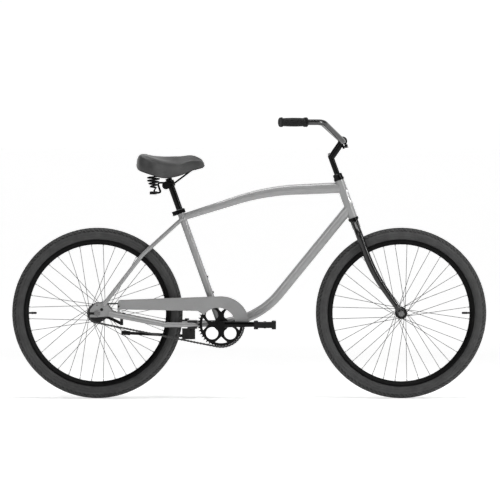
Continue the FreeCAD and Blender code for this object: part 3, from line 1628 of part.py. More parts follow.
def make_seat_clamp():
    """Collar on the seat tube with two ears, its skewer and nut, and the cam lever."""
    start = val("seat_tube_length - collar_overlap")
    base = up_from(SEAT, start)
    outer = "seat_tube_diameter / 2 + collar_wall"
    band = cylinder(outer, "collar_height", base)
    ear_x = -val("seat_tube_diameter / 2 + collar_wall + collar_ear_length / 2 - collar_wall / 2")
    ear_place = base.multiply(Placement(Vector(ear_x, 0, 0), Rotation()))
    ears = box("collar_ear_length", "2 * collar_ear_thickness + collar_slot", "collar_height", ear_place)
    below = up_from(SEAT, start - val("collar_height") / 2)
    slot_place = below.multiply(Placement(Vector(-val("2 * collar_ear_length"), 0, 0), Rotation()))
    slot = box("4 * collar_ear_length", "collar_slot", "2 * collar_height", slot_place)
    hold = cylinder("seat_tube_diameter / 2 + seat_gap", "2 * collar_height", below)
    pin_x = ear_x - val("collar_ear_length") / 6
    level = start + val("collar_height") / 2
    bolt_line = SEAT.multiply(Placement(Vector(pin_x, 0, level), SIDEWAYS))
    ear = "collar_ear_thickness"
    hole = cylinder(
        "skewer_diameter / 2 + seat_gap",
        f"8 * {ear}",
        up_from(bolt_line, -val(f"4 * {ear}")),
    )
    keep(cut(fuse(band, ears), hold, slot, hole), "seat_clamp")
    face = val("collar_ear_thickness + collar_slot / 2 + seat_gap")
    cam = face + val("lever_barrel_radius")
    nut_place = up_from(bolt_line, -face - val("skewer_diameter"))
    shank = cylinder("skewer_diameter / 2", f"{face + cam} + skewer_diameter", nut_place)
    nut = cylinder("skewer_diameter", "skewer_diameter", nut_place)
    cam_spot = bolt_line.multVec(Vector(0, 0, cam))
    eye_half = val("lever_thickness / 2 + skewer_diameter / 4")
    eye = cylinder("lever_eye_radius", f"{2 * eye_half}", along(cam_spot - SEAT_UP * eye_half, SEAT_UP))
    pin_low = along(cam_spot - SEAT_UP * 2 * eye_half, SEAT_UP)
    pivot = cylinder("lever_pin_diameter / 2 + running_fit", f"{4 * eye_half}", pin_low)
    keep(cut(fuse(shank, nut, eye), pivot), "seat_skewer")
    print("seat lever pivot", [round(c, 2) for c in cam_spot])
    make_lever(cam_spot, eye_half)


def make_lever(spot, eye_half):
    """Cam lever: two cheeks beside the skewer's eye, their pin, and a curved blade round the collar."""
    frame = Placement(spot, SEAT.Rotation)
    gap = eye_half + val("fit_gap")
    thick = "lever_thickness"
    cheeks = [
        cylinder("lever_barrel_radius", thick, up_from(frame, level))
        for level in (gap, -gap - val(thick))
    ]
    pin = cylinder(
        "lever_pin_diameter / 2",
        f"{2 * gap} + 2 * {thick}",
        up_from(frame, -gap - val(thick)),
    )
    height = f"({2 * gap} + 2 * {thick})"
    low = "-lever_barrel_radius"
    corners = [
        ("0", low),
        ("lever_length / 3", low),
        ("lever_length", "-lever_barrel_radius + lever_hook"),
        ("lever_length", "-lever_barrel_radius + lever_hook + lever_thickness"),
        ("lever_length / 3", "-lever_barrel_radius + lever_thickness"),
        ("0", "-lever_barrel_radius + lever_thickness"),
    ]
    blade = padded("Blade", height, up_from(frame, -gap - val(thick)), corners)
    room = cylinder("lever_eye_radius + fit_gap", f"{2 * gap}", up_from(frame, -gap))
    keep(fuse(cut(fuse(*cheeks, blade), room), pin), "seat_lever")


def make_seat_post():
    low = "seat_post_top - seat_post_length"
    corners = ring(
        "seat_post_diameter / 2 - seat_post_wall",
        "seat_post_diameter / 2",
        low,
        "seat_post_top",
    )
    keep(revolved("SeatPost", corners, SEAT), "seat_post")


CLAMP_BOLT = Vector(val("clamp_bolt_x"), 0, val("clamp_bolt_z"))


def make_saddle_clamp():
    """Post ring with a cross barrel and bolt, and the two serrated plates that grip the rails."""
    level = (CLAMP_BOLT - SEAT.Base).dot(SEAT_UP) - val("clamp_ring_height") / 2
    post = "seat_post_diameter / 2"
    band = cylinder(f"{post} + clamp_ring_wall", "clamp_ring_height", up_from(SEAT, level))
    below = up_from(SEAT, level - val("clamp_ring_height") / 2)
    hold = cylinder(f"{post} + seat_gap", "2 * clamp_ring_height", below)
    half = val("clamp_barrel_half")
    barrel = cylinder("clamp_barrel_diameter / 2", "2 * clamp_barrel_half", beside(CLAMP_BOLT, -half))
    bolt_hole = cylinder(
        "clamp_bolt_diameter / 2 + seat_gap",
        "4 * clamp_barrel_half",
        beside(CLAMP_BOLT, -2 * half),
    )
    reach = val("clamp_barrel_half + clamp_plate_width + 2 * seat_gap")
    bolt = cylinder("clamp_bolt_diameter / 2", f"{2 * reach}", beside(CLAMP_BOLT, -reach))
    ends = [
        cylinder("clamp_bolt_diameter", "clamp_nut_length", beside(CLAMP_BOLT, inset))
        for inset in (reach, -reach - val("clamp_nut_length"))
    ]
    keep(group(cut(fuse(band, barrel), hold, bolt_hole), fuse(bolt, *ends)), "saddle_clamp")
    plates = []
    for side in (1, -1):
        inset = half + val("seat_gap") if side > 0 else -half - val("seat_gap + clamp_plate_width")
        place = beside(CLAMP_BOLT, inset)
        disc = cylinder("clamp_plate_radius", "clamp_plate_width", place)
        hole = cylinder("clamp_bolt_diameter / 2 + running_fit", "clamp_plate_width", place)
        rail_spot = Vector(
            CLAMP_BOLT.x - val("2 * clamp_plate_radius"),
            -side * val("rail_half"),
            val("rail_z"),
        )
        groove = cylinder(
            "rail_diameter / 2 + seat_gap",
            "4 * clamp_plate_radius",
            along(rail_spot, X_AXIS),
        )
        plates.append(cut(disc, hole, groove))
    keep(group(*plates), "rail_clamps")


def rail_points():
    """Saddle wire from the left spring's foot, through the clamp, round the nose and back."""
    span = val("rail_clamp_reach")
    run = val("rail_foot_run")
    level = val("spring_foot_z - rail_diameter")
    half = [
        Vector(val("spring_x"), val("spring_half"), level),
        Vector(val("spring_x") + run, val("spring_half") - run, level + val("rail_diameter") / 2),
        Vector(CLAMP_BOLT.x - span, val("rail_half"), val("rail_z")),
        Vector(CLAMP_BOLT.x + span, val("rail_half"), val("rail_z")),
        Vector(val("rail_nose_x"), val("rail_nose_half"), val("rail_nose_z")),
    ]
    return half + [Vector(point.x, -point.y, point.z) for point in reversed(half)]


def make_rails():
    size = val("rail_diameter")
    shape = pipe(rail_points(), val("rail_bend_radius"), (size, size))
    feet = []
    for side in SIDES.values():
        spot = Vector(
            val("spring_x"),
            side * val("spring_half"),
            val("spring_foot_z - 1.5 * rail_diameter"),
        )
        height = "1.5 * rail_diameter - seat_gap"
        feet.append(cylinder("spring_foot_radius + spring_wire", height, Placement(spot, Rotation())))
    keep(fuse(feature(shape), *feet), "saddle_rails")


def biarc(start, leave, end, arrive):
    """Two arcs that leave one point and arrive at another in the given directions."""
    span = end - start
    both = leave + arrive
    bend = 2 * (1 - leave.dot(arrive))
    if bend < 1e-9:
        reach = span.Length / 4
    else:
        reach = (math.sqrt(span.dot(both) ** 2 + bend * span.dot(span)) - span.dot(both)) / bend
    corners = (start + leave * reach, end - arrive * reach)
    joint = (corners[0] + corners[1]) * 0.5
    edges = []
    for first, corner, last in ((start, corners[0], joint), (joint, corners[1], end)):
        middle = (first + last) * 0.5
        half = (last - first).Length / 2
        lift = half * math.tan(math.acos(min(1, half / reach)) / 2)
        edges.append(Part.Arc(first, middle + (corner - middle).normalize() * lift, last).toShape())
    return edges


def spring_route(hand):
    """Points and directions of a conical coil about the origin, at each quarter turn."""
    wire = val("spring_wire")
    low = val("spring_foot_z + spring_wire + spring_lead")
    high = val("spring_top_z - spring_wire - spring_lead")
    turns = val("spring_turns")
    narrow, wide = val("spring_foot_radius"), val("spring_top_radius")

    def coil(share):
        radius = narrow + (wide - narrow) * min(1, share / val("spring_cone_share"))
        turn = 2 * math.pi * turns * share
        return Vector(
            radius * math.cos(turn),
            hand * radius * math.sin(turn),
            low + (high - low) * share,
        )

    def heading(share):
        small = 1e-4
        return (coil(min(1, share + small)) - coil(max(0, share - small))).normalize()

    quarters = int(4 * turns)
    route = [(coil(index / quarters), heading(index / quarters)) for index in range(quarters + 1)]
    lead = val("spring_lead")
    foot_turn = val("spring_foot_turn")
    foot = Vector(narrow * math.cos(foot_turn), hand * narrow * math.sin(foot_turn), low - lead)
    head_turn = 2 * math.pi * turns + val("spring_head_turn")
    head = Vector(wide * math.cos(head_turn), hand * wide * math.sin(head_turn), high + lead)
    return [(foot, Z_AXIS), *route, (head, Z_AXIS)], foot - Z_AXIS * wire, head + Z_AXIS * wire


def least_gap(edges, wire):
    """Smallest free distance between parts of a coil that lie more than half a turn apart."""
    points = []
    travelled = 0.0
    for edge in edges:
        for point in edge.discretize(7)[:-1]:
            points.append((travelled + (point - edge.Vertexes[0].Point).Length, point))
        travelled += edge.Length
    apart = math.pi * val("spring_foot_radius")
    return min((b - a).Length for s, a in points for t, b in points if t - s > apart) - wire


def make_springs():
    wire = val("spring_wire")
    coils = []
    for side in SIDES.values():
        route, first, last = spring_route(side)
        edges = [Part.LineSegment(first, route[0][0]).toShape()]
        for (start, leave), (end, arrive) in zip(route, route[1:]):
            edges += biarc(start, leave, end, arrive)
        edges.append(Part.LineSegment(route[-1][0], last).toShape())
        print("saddle spring least gap", round(least_gap(edges, wire), 2))
        sweep = Part.BRepOffsetAPI.MakePipeShell(Part.Wire(edges))
        sweep.add(Part.Wire(Part.Circle(first, Z_AXIS, wire / 2).toShape()))
        sweep.build()
        sweep.makeSolid()
        coil = sweep.shape()
        coil.translate(Vector(val("spring_x"), side * val("spring_half"), 0))
        coils.append(coil)
    keep(feature(Part.makeCompound(coils)), "saddle_springs")


STATIONS = [
    {size: val(f"saddle{index}_{size}") for size in ("x", "width", "low", "high")} for index in range(
        1,
        9,
    )
]


def cushion_section(station):
    """Crowned section of the saddle with drawn-in lower edges."""
    half = station["width"] / 2
    height = station["high"] - station["low"]

    def spot(side, share, rise):
        return Vector(station["x"], side * share, station["low"] + rise * height)

    foot = half - val("saddle_edge")
    brow = val("saddle_brow_share") * half
    bulge, rise = val("saddle_bulge_rise"), val("saddle_brow_rise")
    return Part.Wire(
        [
            Part.LineSegment(spot(-1, foot, 0), spot(1, foot, 0)).toShape(),
            Part.Arc(spot(1, foot, 0), spot(1, half, bulge), spot(1, brow, rise)).toShape(),
            Part.Arc(spot(1, brow, rise), spot(1, 0, 1), spot(-1, brow, rise)).toShape(),
            Part.Arc(spot(-1, brow, rise), spot(-1, half, bulge), spot(-1, foot, 0)).toShape(),
        ]
    )


def hollow_section(station, low, high, inset):
    """Flat section inside the saddle's skirt, between two heights above its edge."""
    half = station["width"] / 2 - val("saddle_edge") - inset
    return [
        Vector(station["x"], side * half, station["low"] + rise)
        for side, rise in ((-1, low), (1, low), (1, high), (-1, high))
    ]


def flat_face(corners):
    return Part.Face(Part.makePolygon([*corners, corners[0]]))


def inside_saddle(low, high, inset):
    """Flat-sided solid that follows the saddle's outline inside its skirt."""
    rings = [hollow_section(station, low, high, inset) for station in STATIONS[1:-1]]
    faces = [flat_face(rings[0]), flat_face(rings[-1])]
    for here, there in zip(rings, rings[1:]):
        for index, corner in enumerate(here):
            faces.append(flat_face([here[index - 1], corner, there[index], there[index - 1]]))
    shape = Part.makeSolid(Part.makeShell(faces))
    if shape.Volume < 0:
        shape.reverse()
    return feature(shape)


def make_saddle():
    """Padded cover with a skirt, over a pan with two spring seats and a nose lug."""
    cushion = Part.makeLoft([cushion_section(station) for station in STATIONS], True, False)
    skirt, lift = val("saddle_skirt"), val("saddle_pan_lift")
    top = lift + val("saddle_pan_thickness")
    gap = val("fit_gap")
    keep(cut(feature(cushion), inside_saddle(-2 * lift, top, skirt)), "saddle_cover")
    pan = inside_saddle(lift, top - gap, skirt + gap)
    seats = []
    for side in SIDES.values():
        spot = Vector(val("spring_x"), side * val("spring_half"), val("spring_top_z + seat_gap"))
        seat = cylinder("spring_top_radius + spring_wire / 2", f"{top}", Placement(spot, Rotation()))
        seats.append(trimmed(seat, inside_saddle(-lift, top - gap, skirt + gap)))
    radius = val("rail_diameter / 2")
    nose = Vector(val("rail_nose_x"), 0, val("rail_nose_z") - radius - val("nose_lug_wall"))
    rise = val("saddle6_low") + lift + val("saddle_pan_thickness") - nose.z
    lug = box(
        "rail_diameter + 2 * nose_lug_wall",
        "2 * nose_lug_half",
        f"{rise}",
        Placement(nose, Rotation()),
    )
    hinge = beside(Vector(nose.x, 0, val("rail_nose_z")), -val("2 * nose_lug_half"))
    bore = cylinder("rail_diameter / 2 + running_fit", "4 * nose_lug_half", hinge)
    keep(cut(fuse(pan, *seats, lug), bore), "saddle_base")


# Kickstand


def stand_directions():
    """Leg directions folded and down, and the slanted hinge axis that carries one to the other."""
    rise, splay = math.radians(val("stand_fold_rise")), math.radians(val("stand_fold_splay"))
    folded = Vector(-math.cos(rise) * math.cos(splay), math.sin(splay), math.sin(rise) * math.cos(splay))
    rake, splay = math.radians(val("stand_down_rake")), math.radians(val("stand_down_splay"))
    down = Vector(-math.sin(rake) * math.cos(splay), math.sin(splay), -math.cos(rake) * math.cos(splay))
    across = (down - folded).normalize()
    axis = (Y_AXIS - across * Y_AXIS.dot(across)).normalize()
    swing = (folded - axis * folded.dot(axis)).getAngle(down - axis * down.dot(axis))
    return folded, axis, math.degrees(swing)


def make_kickstand():
    folded, axis, swing = stand_directions()
    pivot = Vector(val("stand_pivot_x"), val("stand_pivot_y"), val("stand_pivot_z"))
    print("kickstand axis", [round(c, 5) for c in axis], "swing", round(swing, 2), "pivot", list(pivot))
    stay_top = val("chainstay_knee_z + chainstay_diameter / 2 + seat_gap")
    stay_low = val("chainstay_knee_z - chainstay_diameter / 2 - seat_gap - stand_plate_thickness")
    plate = ("stand_plate_length", "stand_plate_width", "stand_plate_thickness")
    centre = Vector(val("stand_x"), 0, 0)
    plates = [box(*plate, Placement(centre + Z_AXIS * z, Rotation())) for z in (stay_top, stay_low)]
    face = pivot.y - val("stand_eye_radius / 4")
    low = pivot.z - val("stand_eye_radius")
    middle = Vector((val("stand_x") + pivot.x) / 2, face - val("stand_housing_width / 2"), low)
    length = f"{abs(val('stand_x') - pivot.x)} + 2 * stand_eye_radius"
    housing = box(length, "stand_housing_width", f"{stay_low - low}", Placement(middle, Rotation()))
    root = pivot - axis * val("stand_housing_width / 2")
    boss = cylinder("stand_eye_radius", "stand_housing_width / 2", along(root, axis))
    pin_end = pivot + axis * val("stand_eye_width + 2 * fit_gap")
    pin = rod("stand_pin_diameter / 2", root, pin_end)
    head = cylinder("stand_pin_head / 2", "stand_pin_diameter / 4", along(pin_end, axis))
    bolt_low = centre + Z_AXIS * (stay_low - val("stand_bolt_diameter"))
    bolt_top = centre + Z_AXIS * (stay_top + val("stand_plate_thickness / 2"))
    bolt = rod("stand_bolt_diameter / 2", bolt_low, bolt_top)
    bolt_head = cylinder(
        "stand_bolt_head / 2",
        "stand_bolt_diameter - seat_gap",
        Placement(bolt_low, Rotation()),
    )
    bore = rod(
        "stand_bolt_diameter / 2 + seat_gap",
        bolt_low,
        bolt_top + Z_AXIS * val("stand_plate_thickness"),
    )
    lower = cut(fuse(plates[1], housing, boss, pin, head), bore)
    keep(group(cut(plates[0], bore), lower, fuse(bolt, bolt_head)), "kickstand_bracket")
    eye_base = pivot + axis * val("fit_gap")
    eye = cylinder("stand_eye_radius", "stand_eye_width", along(eye_base, axis))
    start = eye_base + axis * val("stand_eye_width / 2")
    end = start + folded * val("stand_leg_length")
    leg = rod("stand_leg_diameter / 2", start, end)
    hole = cylinder("stand_pin_diameter / 2 + running_fit", "stand_eye_width", along(eye_base, axis))
    keep(cut(fuse(eye, leg), hole), "kickstand_leg")
    cap_start = end - folded * val("stand_foot_lap")
    cap = rod("stand_foot_diameter / 2", cap_start, cap_start + folded * val("stand_foot_length"))
    room = rod("stand_leg_diameter / 2 + running_fit", start, end + folded * val("seat_gap"))
    keep(cut(cap, room), "kickstand_foot")


for make in (
    make_wheels,
    make_chainring,
    make_sprocket,
    make_chain,
    make_crank,
    make_bracket_bearings,
    make_pedals,
    make_guard,
    make_guard_tab,
    make_main_tubes,
    make_stays,
    make_screws,
    make_brake_arm,
    make_headset,
    make_steerer,
    make_blades,
    make_stem,
    make_handlebar,
    make_grips,
    make_seat_clamp,
    make_seat_post,
    make_saddle_clamp,
    make_rails,
    make_springs,
    make_saddle,
    make_kickstand,
):
    make()


def finish():
    """Checks every object and sub-part, then writes each sub-part's file."""
    doc.recompute()
    for thing in doc.Objects:
        if "Invalid" in thing.State or "Error" in thing.State:
            raise RuntimeError(f"{thing.Label} did not build: {thing.getStatusString()}")
    for part in PARTS:
        if part.Shape.isNull() or not part.Shape.isValid():
            raise RuntimeError(f"{part.Label} has no valid shape")
    os.makedirs("parts", exist_ok=True)
    for part in PARTS:
        part.Shape.exportStep(f"parts/{part.Label}.step")
        print(part.Label, len(part.Shape.Solids), "solids", round(part.Shape.Volume / 1000, 1), "cm3")


finish()
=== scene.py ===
import math

import bmesh
import bpy
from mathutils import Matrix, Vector


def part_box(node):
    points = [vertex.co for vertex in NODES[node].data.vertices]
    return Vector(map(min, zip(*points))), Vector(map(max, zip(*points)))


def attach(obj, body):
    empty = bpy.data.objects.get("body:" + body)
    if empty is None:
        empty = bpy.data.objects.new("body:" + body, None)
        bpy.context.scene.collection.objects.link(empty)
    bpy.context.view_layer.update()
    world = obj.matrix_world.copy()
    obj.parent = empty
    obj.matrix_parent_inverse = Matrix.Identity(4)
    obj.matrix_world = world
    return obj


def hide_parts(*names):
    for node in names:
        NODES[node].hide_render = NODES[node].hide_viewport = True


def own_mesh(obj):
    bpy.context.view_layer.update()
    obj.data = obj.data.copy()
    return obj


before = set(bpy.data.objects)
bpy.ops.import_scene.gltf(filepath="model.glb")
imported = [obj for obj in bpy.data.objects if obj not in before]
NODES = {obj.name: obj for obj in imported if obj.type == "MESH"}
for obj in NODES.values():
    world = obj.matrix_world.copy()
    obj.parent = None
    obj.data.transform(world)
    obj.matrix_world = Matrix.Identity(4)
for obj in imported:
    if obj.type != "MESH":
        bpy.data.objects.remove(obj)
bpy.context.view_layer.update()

# Places shared with the CAD, in metres

MM = 0.001
SIDES = {"right": -1, "left": 1}
AXLES = {"front": Vector((0.592, 0, 0.3325)), "rear": Vector((-0.592, 0, 0.3325))}
STEER_LEAN = math.radians(20)
STEER_UP = Vector((-math.sin(STEER_LEAN), 0, math.cos(STEER_LEAN)))
STEER_FORWARD = Vector((STEER_UP.z, 0, -STEER_UP.x))
HEAD_LOW = Vector((0.4043, 0, 0.7037))
SIDEWAYS = Vector((0, 1, 0))


# Materials

BLEND_RANGE = (0.35, 0.65)
GLOSS_RANGE = (0.3, 0.7)
GLOSS_MOTTLE = 2.7
NIPPLE_START = 0.2555
NIPPLE_FADE = 0.002


class Finish:
    """A node material whose colour and gloss drift over the surface, with a grain in its bump."""

    def __init__(self, name, dark, light, rough, metallic=0.0, mottle=14.0):
        self.material = bpy.data.materials.new(name)
        self.material.use_nodes = True
        self.tree = self.material.node_tree
        self.shader = self.tree.nodes["Principled BSDF"]
        self.shader.inputs["Metallic"].default_value = metallic
        self.coords = self.node("ShaderNodeTexCoord").outputs["Object"]
        self.blend(self.noise(mottle, detail=5.0), dark, light)
        self.gloss(self.noise(mottle * GLOSS_MOTTLE, detail=4.0), *rough)
        self.height = None

    def node(self, kind, **inputs):
        made = self.tree.nodes.new(kind)
        for name, value in inputs.items():
            self.put(made.inputs[name], value)
        return made

    def put(self, socket, value):
        if isinstance(value, bpy.types.NodeSocket):
            self.tree.links.new(value, socket)
        else:
            socket.default_value = value

    def stretched(self, scale):
        made = self.node("ShaderNodeMapping", Vector=self.coords, Scale=scale)
        return made.outputs["Vector"]

    def noise(self, scale, detail, where=None):
        made = self.node("ShaderNodeTexNoise", Vector=where or self.coords, Scale=scale, Detail=detail)
        return made.outputs["Fac"]

    def cells(self, scale, feature="F1"):
        made = self.node("ShaderNodeTexVoronoi", Vector=self.coords, Scale=scale)
        made.feature = feature
        return made.outputs["Distance"]

    def ranged(self, value, low, high, to_low=0.0, to_high=1.0):
        made = self.node("ShaderNodeMapRange", Value=value)
        for name, number in (("From Min", low), ("From Max", high), ("To Min", to_low), ("To Max", to_high)):
            made.inputs[name].default_value = number
        return made.outputs["Result"]

    def maths(self, operation, *values):
        made = self.tree.nodes.new("ShaderNodeMath")
        made.operation = operation
        for socket, value in zip(made.inputs, values):
            self.put(socket, value)
        return made.outputs["Value"]

    def blend(self, share, dark, light):
        """Mixes two colours, or a colour over what is there, and puts the result on the shader."""
        made = self.tree.nodes.new("ShaderNodeMix")
        made.data_type = "RGBA"
        self.put(made.inputs["Factor"], self.ranged(share, *BLEND_RANGE))
        for socket, colour in ((made.inputs["A"], dark), (made.inputs["B"], light)):
            self.put(socket, colour if isinstance(colour, bpy.types.NodeSocket) else (*colour, 1.0))
        self.tree.links.new(made.outputs["Result"], self.shader.inputs["Base Color"])
        self.colour = made.outputs["Result"]

    def gloss(self, share, low, high):
        rough = self.ranged(share, *GLOSS_RANGE, low, high)
        self.tree.links.new(rough, self.shader.inputs["Roughness"])

    def bump(self, height, strength, distance):
        made = self.node("ShaderNodeBump", Height=height, Strength=strength, Distance=distance)
        if self.height:
            self.tree.links.new(self.height, made.inputs["Normal"])
        self.height = made.outputs["Normal"]
        self.tree.links.new(self.height, self.shader.inputs["Normal"])

    def set(self, **numbers):
        for name, number in numbers.items():
            self.shader.inputs[name.replace("_", " ")].default_value = number


def grey(level, tint=0.0):
    """Neutral colour of a brightness, or one tinted towards blue."""
    return (level * (1 - tint), level, level * (1 + tint))


def painted(name, level, rough, coat, shine=0.5):
    """Sprayed enamel: faint orange peel, fine flake and a clear coat."""
    paint = Finish(name, grey(level * 0.93), grey(level * 1.05, 0.006), rough)
    flake = paint.ranged(paint.cells(scale=2600.0), 0.0, 0.9, to_low=0.3, to_high=0.62)
    paint.blend(flake, paint.colour, grey(level * 1.16))
    paint.bump(paint.noise(scale=420.0, detail=2.0), strength=0.06, distance=0.0004)
    paint.set(Coat_Weight=coat, Coat_Roughness=0.06, Specular_IOR_Level=shine)
    return paint.material


def metal(name, level, rough, grain, streak=(1.0, 1.0, 1.0)):
    """Bare or plated metal with drawn or turned streaks and small stains."""
    plate = Finish(name, grey(level * 0.82), grey(level * 1.06), rough, metallic=1.0, mottle=45.0)
    lines = plate.noise(grain, detail=3.0, where=plate.stretched(streak))
    stain = plate.ranged(lines, 0.3, 0.8, to_low=0.3, to_high=0.6)
    plate.blend(stain, plate.colour, grey(level * 0.7))
    plate.bump(lines, strength=0.05, distance=0.0002)
    return plate.material


def moulded(name, level, rough, texture=1500.0, strength=0.18, shine=0.3):
    """Moulded plastic or rubber with a fine spark-eroded grain and scuffs."""
    skin = Finish(name, grey(level * 0.85), grey(level * 1.2), rough, mottle=25.0)
    marks = skin.noise(scale=160.0, detail=6.0, where=skin.stretched((1.0, 6.0, 1.0)))
    scuff = skin.ranged(marks, 0.62, 0.9, to_low=0.3, to_high=0.7)
    skin.blend(scuff, skin.colour, grey(level * 1.9))
    skin.bump(skin.cells(texture), strength, distance=0.0003)
    skin.set(Specular_IOR_Level=shine)
    return skin.material


def spoke_steel():
    """Black spokes that turn to bright nipples at the rim."""
    spoke = Finish("spoke_black", grey(0.006), grey(0.012), (0.4, 0.5), mottle=60.0)
    place = spoke.node("ShaderNodeSeparateXYZ", Vector=spoke.coords)
    along = spoke.maths("ABSOLUTE", place.outputs["X"])
    along = spoke.maths("SUBTRACT", along, AXLES["front"].x)
    rise = spoke.maths("SUBTRACT", place.outputs["Z"], AXLES["front"].z)
    squares = spoke.maths("ADD", spoke.maths("POWER", along, 2.0), spoke.maths("POWER", rise, 2.0))
    out = spoke.maths("SQRT", squares)
    nipple = spoke.ranged(out, NIPPLE_START, NIPPLE_START + NIPPLE_FADE, *BLEND_RANGE)
    spoke.blend(nipple, spoke.colour, grey(0.55))
    spoke.bump(spoke.noise(scale=900.0, detail=3.0), strength=0.08, distance=0.0002)
    spoke.set(Specular_IOR_Level=0.15)
    return spoke.material


def tyre_rubber():
    """Dark grey rubber, faintly dusty, with painted shade that darkens the grooves, and a mould texture."""
    rubber = Finish("tyre_rubber", grey(0.044), grey(0.060), (0.62, 0.85), mottle=30.0)
    dust = rubber.ranged(rubber.noise(scale=90.0, detail=8.0), 0.55, 0.9, to_low=0.3, to_high=0.45)
    rubber.blend(dust, rubber.colour, (0.105, 0.102, 0.096))
    # Painted shade: the colour goes darker where the groove attribute says the tread is cut deep
    groove = rubber.node("ShaderNodeAttribute")
    groove.attribute_name = "groove"
    deep = rubber.ranged(groove.outputs["Fac"], 0.25, 0.85, *BLEND_RANGE)
    rubber.blend(deep, rubber.colour, grey(0.030))
    rubber.bump(rubber.noise(scale=700.0, detail=4.0), strength=0.25, distance=0.0004)
    rubber.set(Specular_IOR_Level=0.3)
    return rubber.material


def saddle_vinyl():
    """Leather-grained vinyl: small cells, wider creases and a worn sheen."""
    vinyl = Finish("saddle_vinyl", grey(0.020), grey(0.030), (0.42, 0.56), mottle=11.0)
    worn = vinyl.ranged(vinyl.noise(scale=26.0, detail=7.0), 0.5, 0.85, to_low=0.3, to_high=0.6)
    vinyl.blend(worn, vinyl.colour, grey(0.044))
    vinyl.bump(vinyl.cells(620.0, "DISTANCE_TO_EDGE"), strength=0.32, distance=0.0005)
    vinyl.bump(vinyl.noise(scale=75.0, detail=5.0), strength=0.12, distance=0.001)
    vinyl.set(Sheen_Weight=0.08)
    return vinyl.material


FRAME_PAINT = painted("frame_paint", 0.244, rough=(0.3, 0.4), coat=0.8)
GUARD_PAINT = painted("guard_paint", 0.253, rough=(0.48, 0.6), coat=0.1)
FORK_PAINT = painted("fork_paint", 0.003, rough=(0.22, 0.28), coat=0.0, shine=0.55)
BLACK_PAINT = painted("black_paint", 0.002, rough=(0.16, 0.24), coat=0.0, shine=0.14)
RIM_BLACK = metal("rim_black", 0.012, rough=(0.42, 0.55), grain=1200.0)
SPOKE_STEEL = spoke_steel()
DARK_STEEL = metal("dark_steel", 0.035, rough=(0.32, 0.5), grain=500.0)
BOLT_STEEL = metal("bolt_steel", 0.28, rough=(0.3, 0.45), grain=800.0)
CHAIN_STEEL = metal("chain_steel", 0.09, rough=(0.3, 0.45), grain=700.0)
STAND_STEEL = metal("stand_steel", 0.045, rough=(0.35, 0.5), grain=300.0)
BADGE_METAL = metal("badge_metal", 0.85, rough=(0.3, 0.45), grain=1400.0, streak=(1.0, 1.0, 0.1))
BAR_CHROME = metal("bar_chrome", 0.085, rough=(0.16, 0.28), grain=350.0, streak=(0.2, 1.0, 1.0))
GRIP_RUBBER = moulded("grip_rubber", 0.005, rough=(0.5, 0.68), texture=1800.0, strength=0.3, shine=0.2)
PEDAL_PLASTIC = moulded("pedal_plastic", 0.007, rough=(0.42, 0.6), shine=0.22)
PAN_PLASTIC = moulded("pan_plastic", 0.012, rough=(0.5, 0.66))
TUBE_RUBBER = moulded("tube_rubber", 0.012, rough=(0.5, 0.7))
TYRE_RUBBER = tyre_rubber()
SADDLE_VINYL = saddle_vinyl()

NODE_FINISH = {
    FRAME_PAINT: (
        "head_tube top_tube down_tube seat_tube bottom_bracket_shell right_chainstay left_chainstay "
        "right_seatstay left_seatstay rear_dropouts seatstay_bridge chain_guard_bracket seat_clamp"
    ),
    GUARD_PAINT: "chain_guard",
    FORK_PAINT: "fork_steerer right_fork_blade left_fork_blade",
    BLACK_PAINT: (
        "stem seat_post crank chainring saddle_clamp rail_clamps kickstand_leg headset_cups "
        "headset_races saddle_rails bottom_bracket_cups seat_lever seat_skewer brake_arm"
    ),
    RIM_BLACK: "front_rim rear_rim",
    SPOKE_STEEL: "front_spokes rear_spokes",
    CHAIN_STEEL: "chain",
    STAND_STEEL: "kickstand_bracket",
    DARK_STEEL: "rear_sprocket front_hub rear_hub saddle_springs frame_screws",
    BOLT_STEEL: "front_axle rear_axle stem_bolts front_hub_balls rear_hub_balls bottom_bracket_balls",
    BAR_CHROME: "handlebar",
    GRIP_RUBBER: "left_grip right_grip kickstand_foot",
    PEDAL_PLASTIC: "right_pedal left_pedal",
    PAN_PLASTIC: "saddle_base",
    TUBE_RUBBER: "front_inner_tube rear_inner_tube",
    TYRE_RUBBER: "front_tyre rear_tyre",
    SADDLE_VINYL: "saddle_cover",
}


def finish_nodes():
    """Gives every CAD node its material."""
    for material, names in NODE_FINISH.items():
        for name in names.split():
            node = NODES[name]
            node.data.materials.clear()
            node.data.materials.append(material)


# Meshes

FEWEST_POINTS = 12
NEARLY_ALL = 0.999999
TINY = 1e-12


def add_piece(name, verts, faces, material, body):
    """Smooth mesh, placed as the part stands at rest, that rides on a body."""
    mesh = bpy.data.meshes.new(name)
    mesh.from_pydata([tuple(v) for v in verts], [], faces)
    mesh.update()
    piece = bpy.data.objects.new(name, mesh)
    bpy.context.scene.collection.objects.link(piece)
    mesh.materials.append(material)
    for face in mesh.polygons:
        face.use_smooth = True
    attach(piece, body)
    return piece


def ring_faces(rings, count, closed_rings=False):
    """Quads between successive rings of points, each ring closed on itself."""
    faces = []
    last = rings if closed_rings else rings - 1
    for ring in range(last):
        here, after = ring * count, (ring + 1) % rings * count
        for spot in range(count):
            beside = (spot + 1) % count
            faces.append((here + spot, here + beside, after + beside, after + spot))
    return faces


def capped_faces(rings, count):
    """Quads between successive rings of points, with a face over the first ring and the last."""
    first = tuple(reversed(range(count)))
    last = tuple(range((rings - 1) * count, rings * count))
    return [*ring_faces(rings, count), first, last]


def sharpen(piece, angle):
    """Keeps edges steeper than the angle crisp."""
    bpy.context.view_layer.objects.active = piece
    piece.select_set(True)
    bpy.ops.object.shade_smooth_by_angle(angle=math.radians(angle))
    piece.select_set(False)


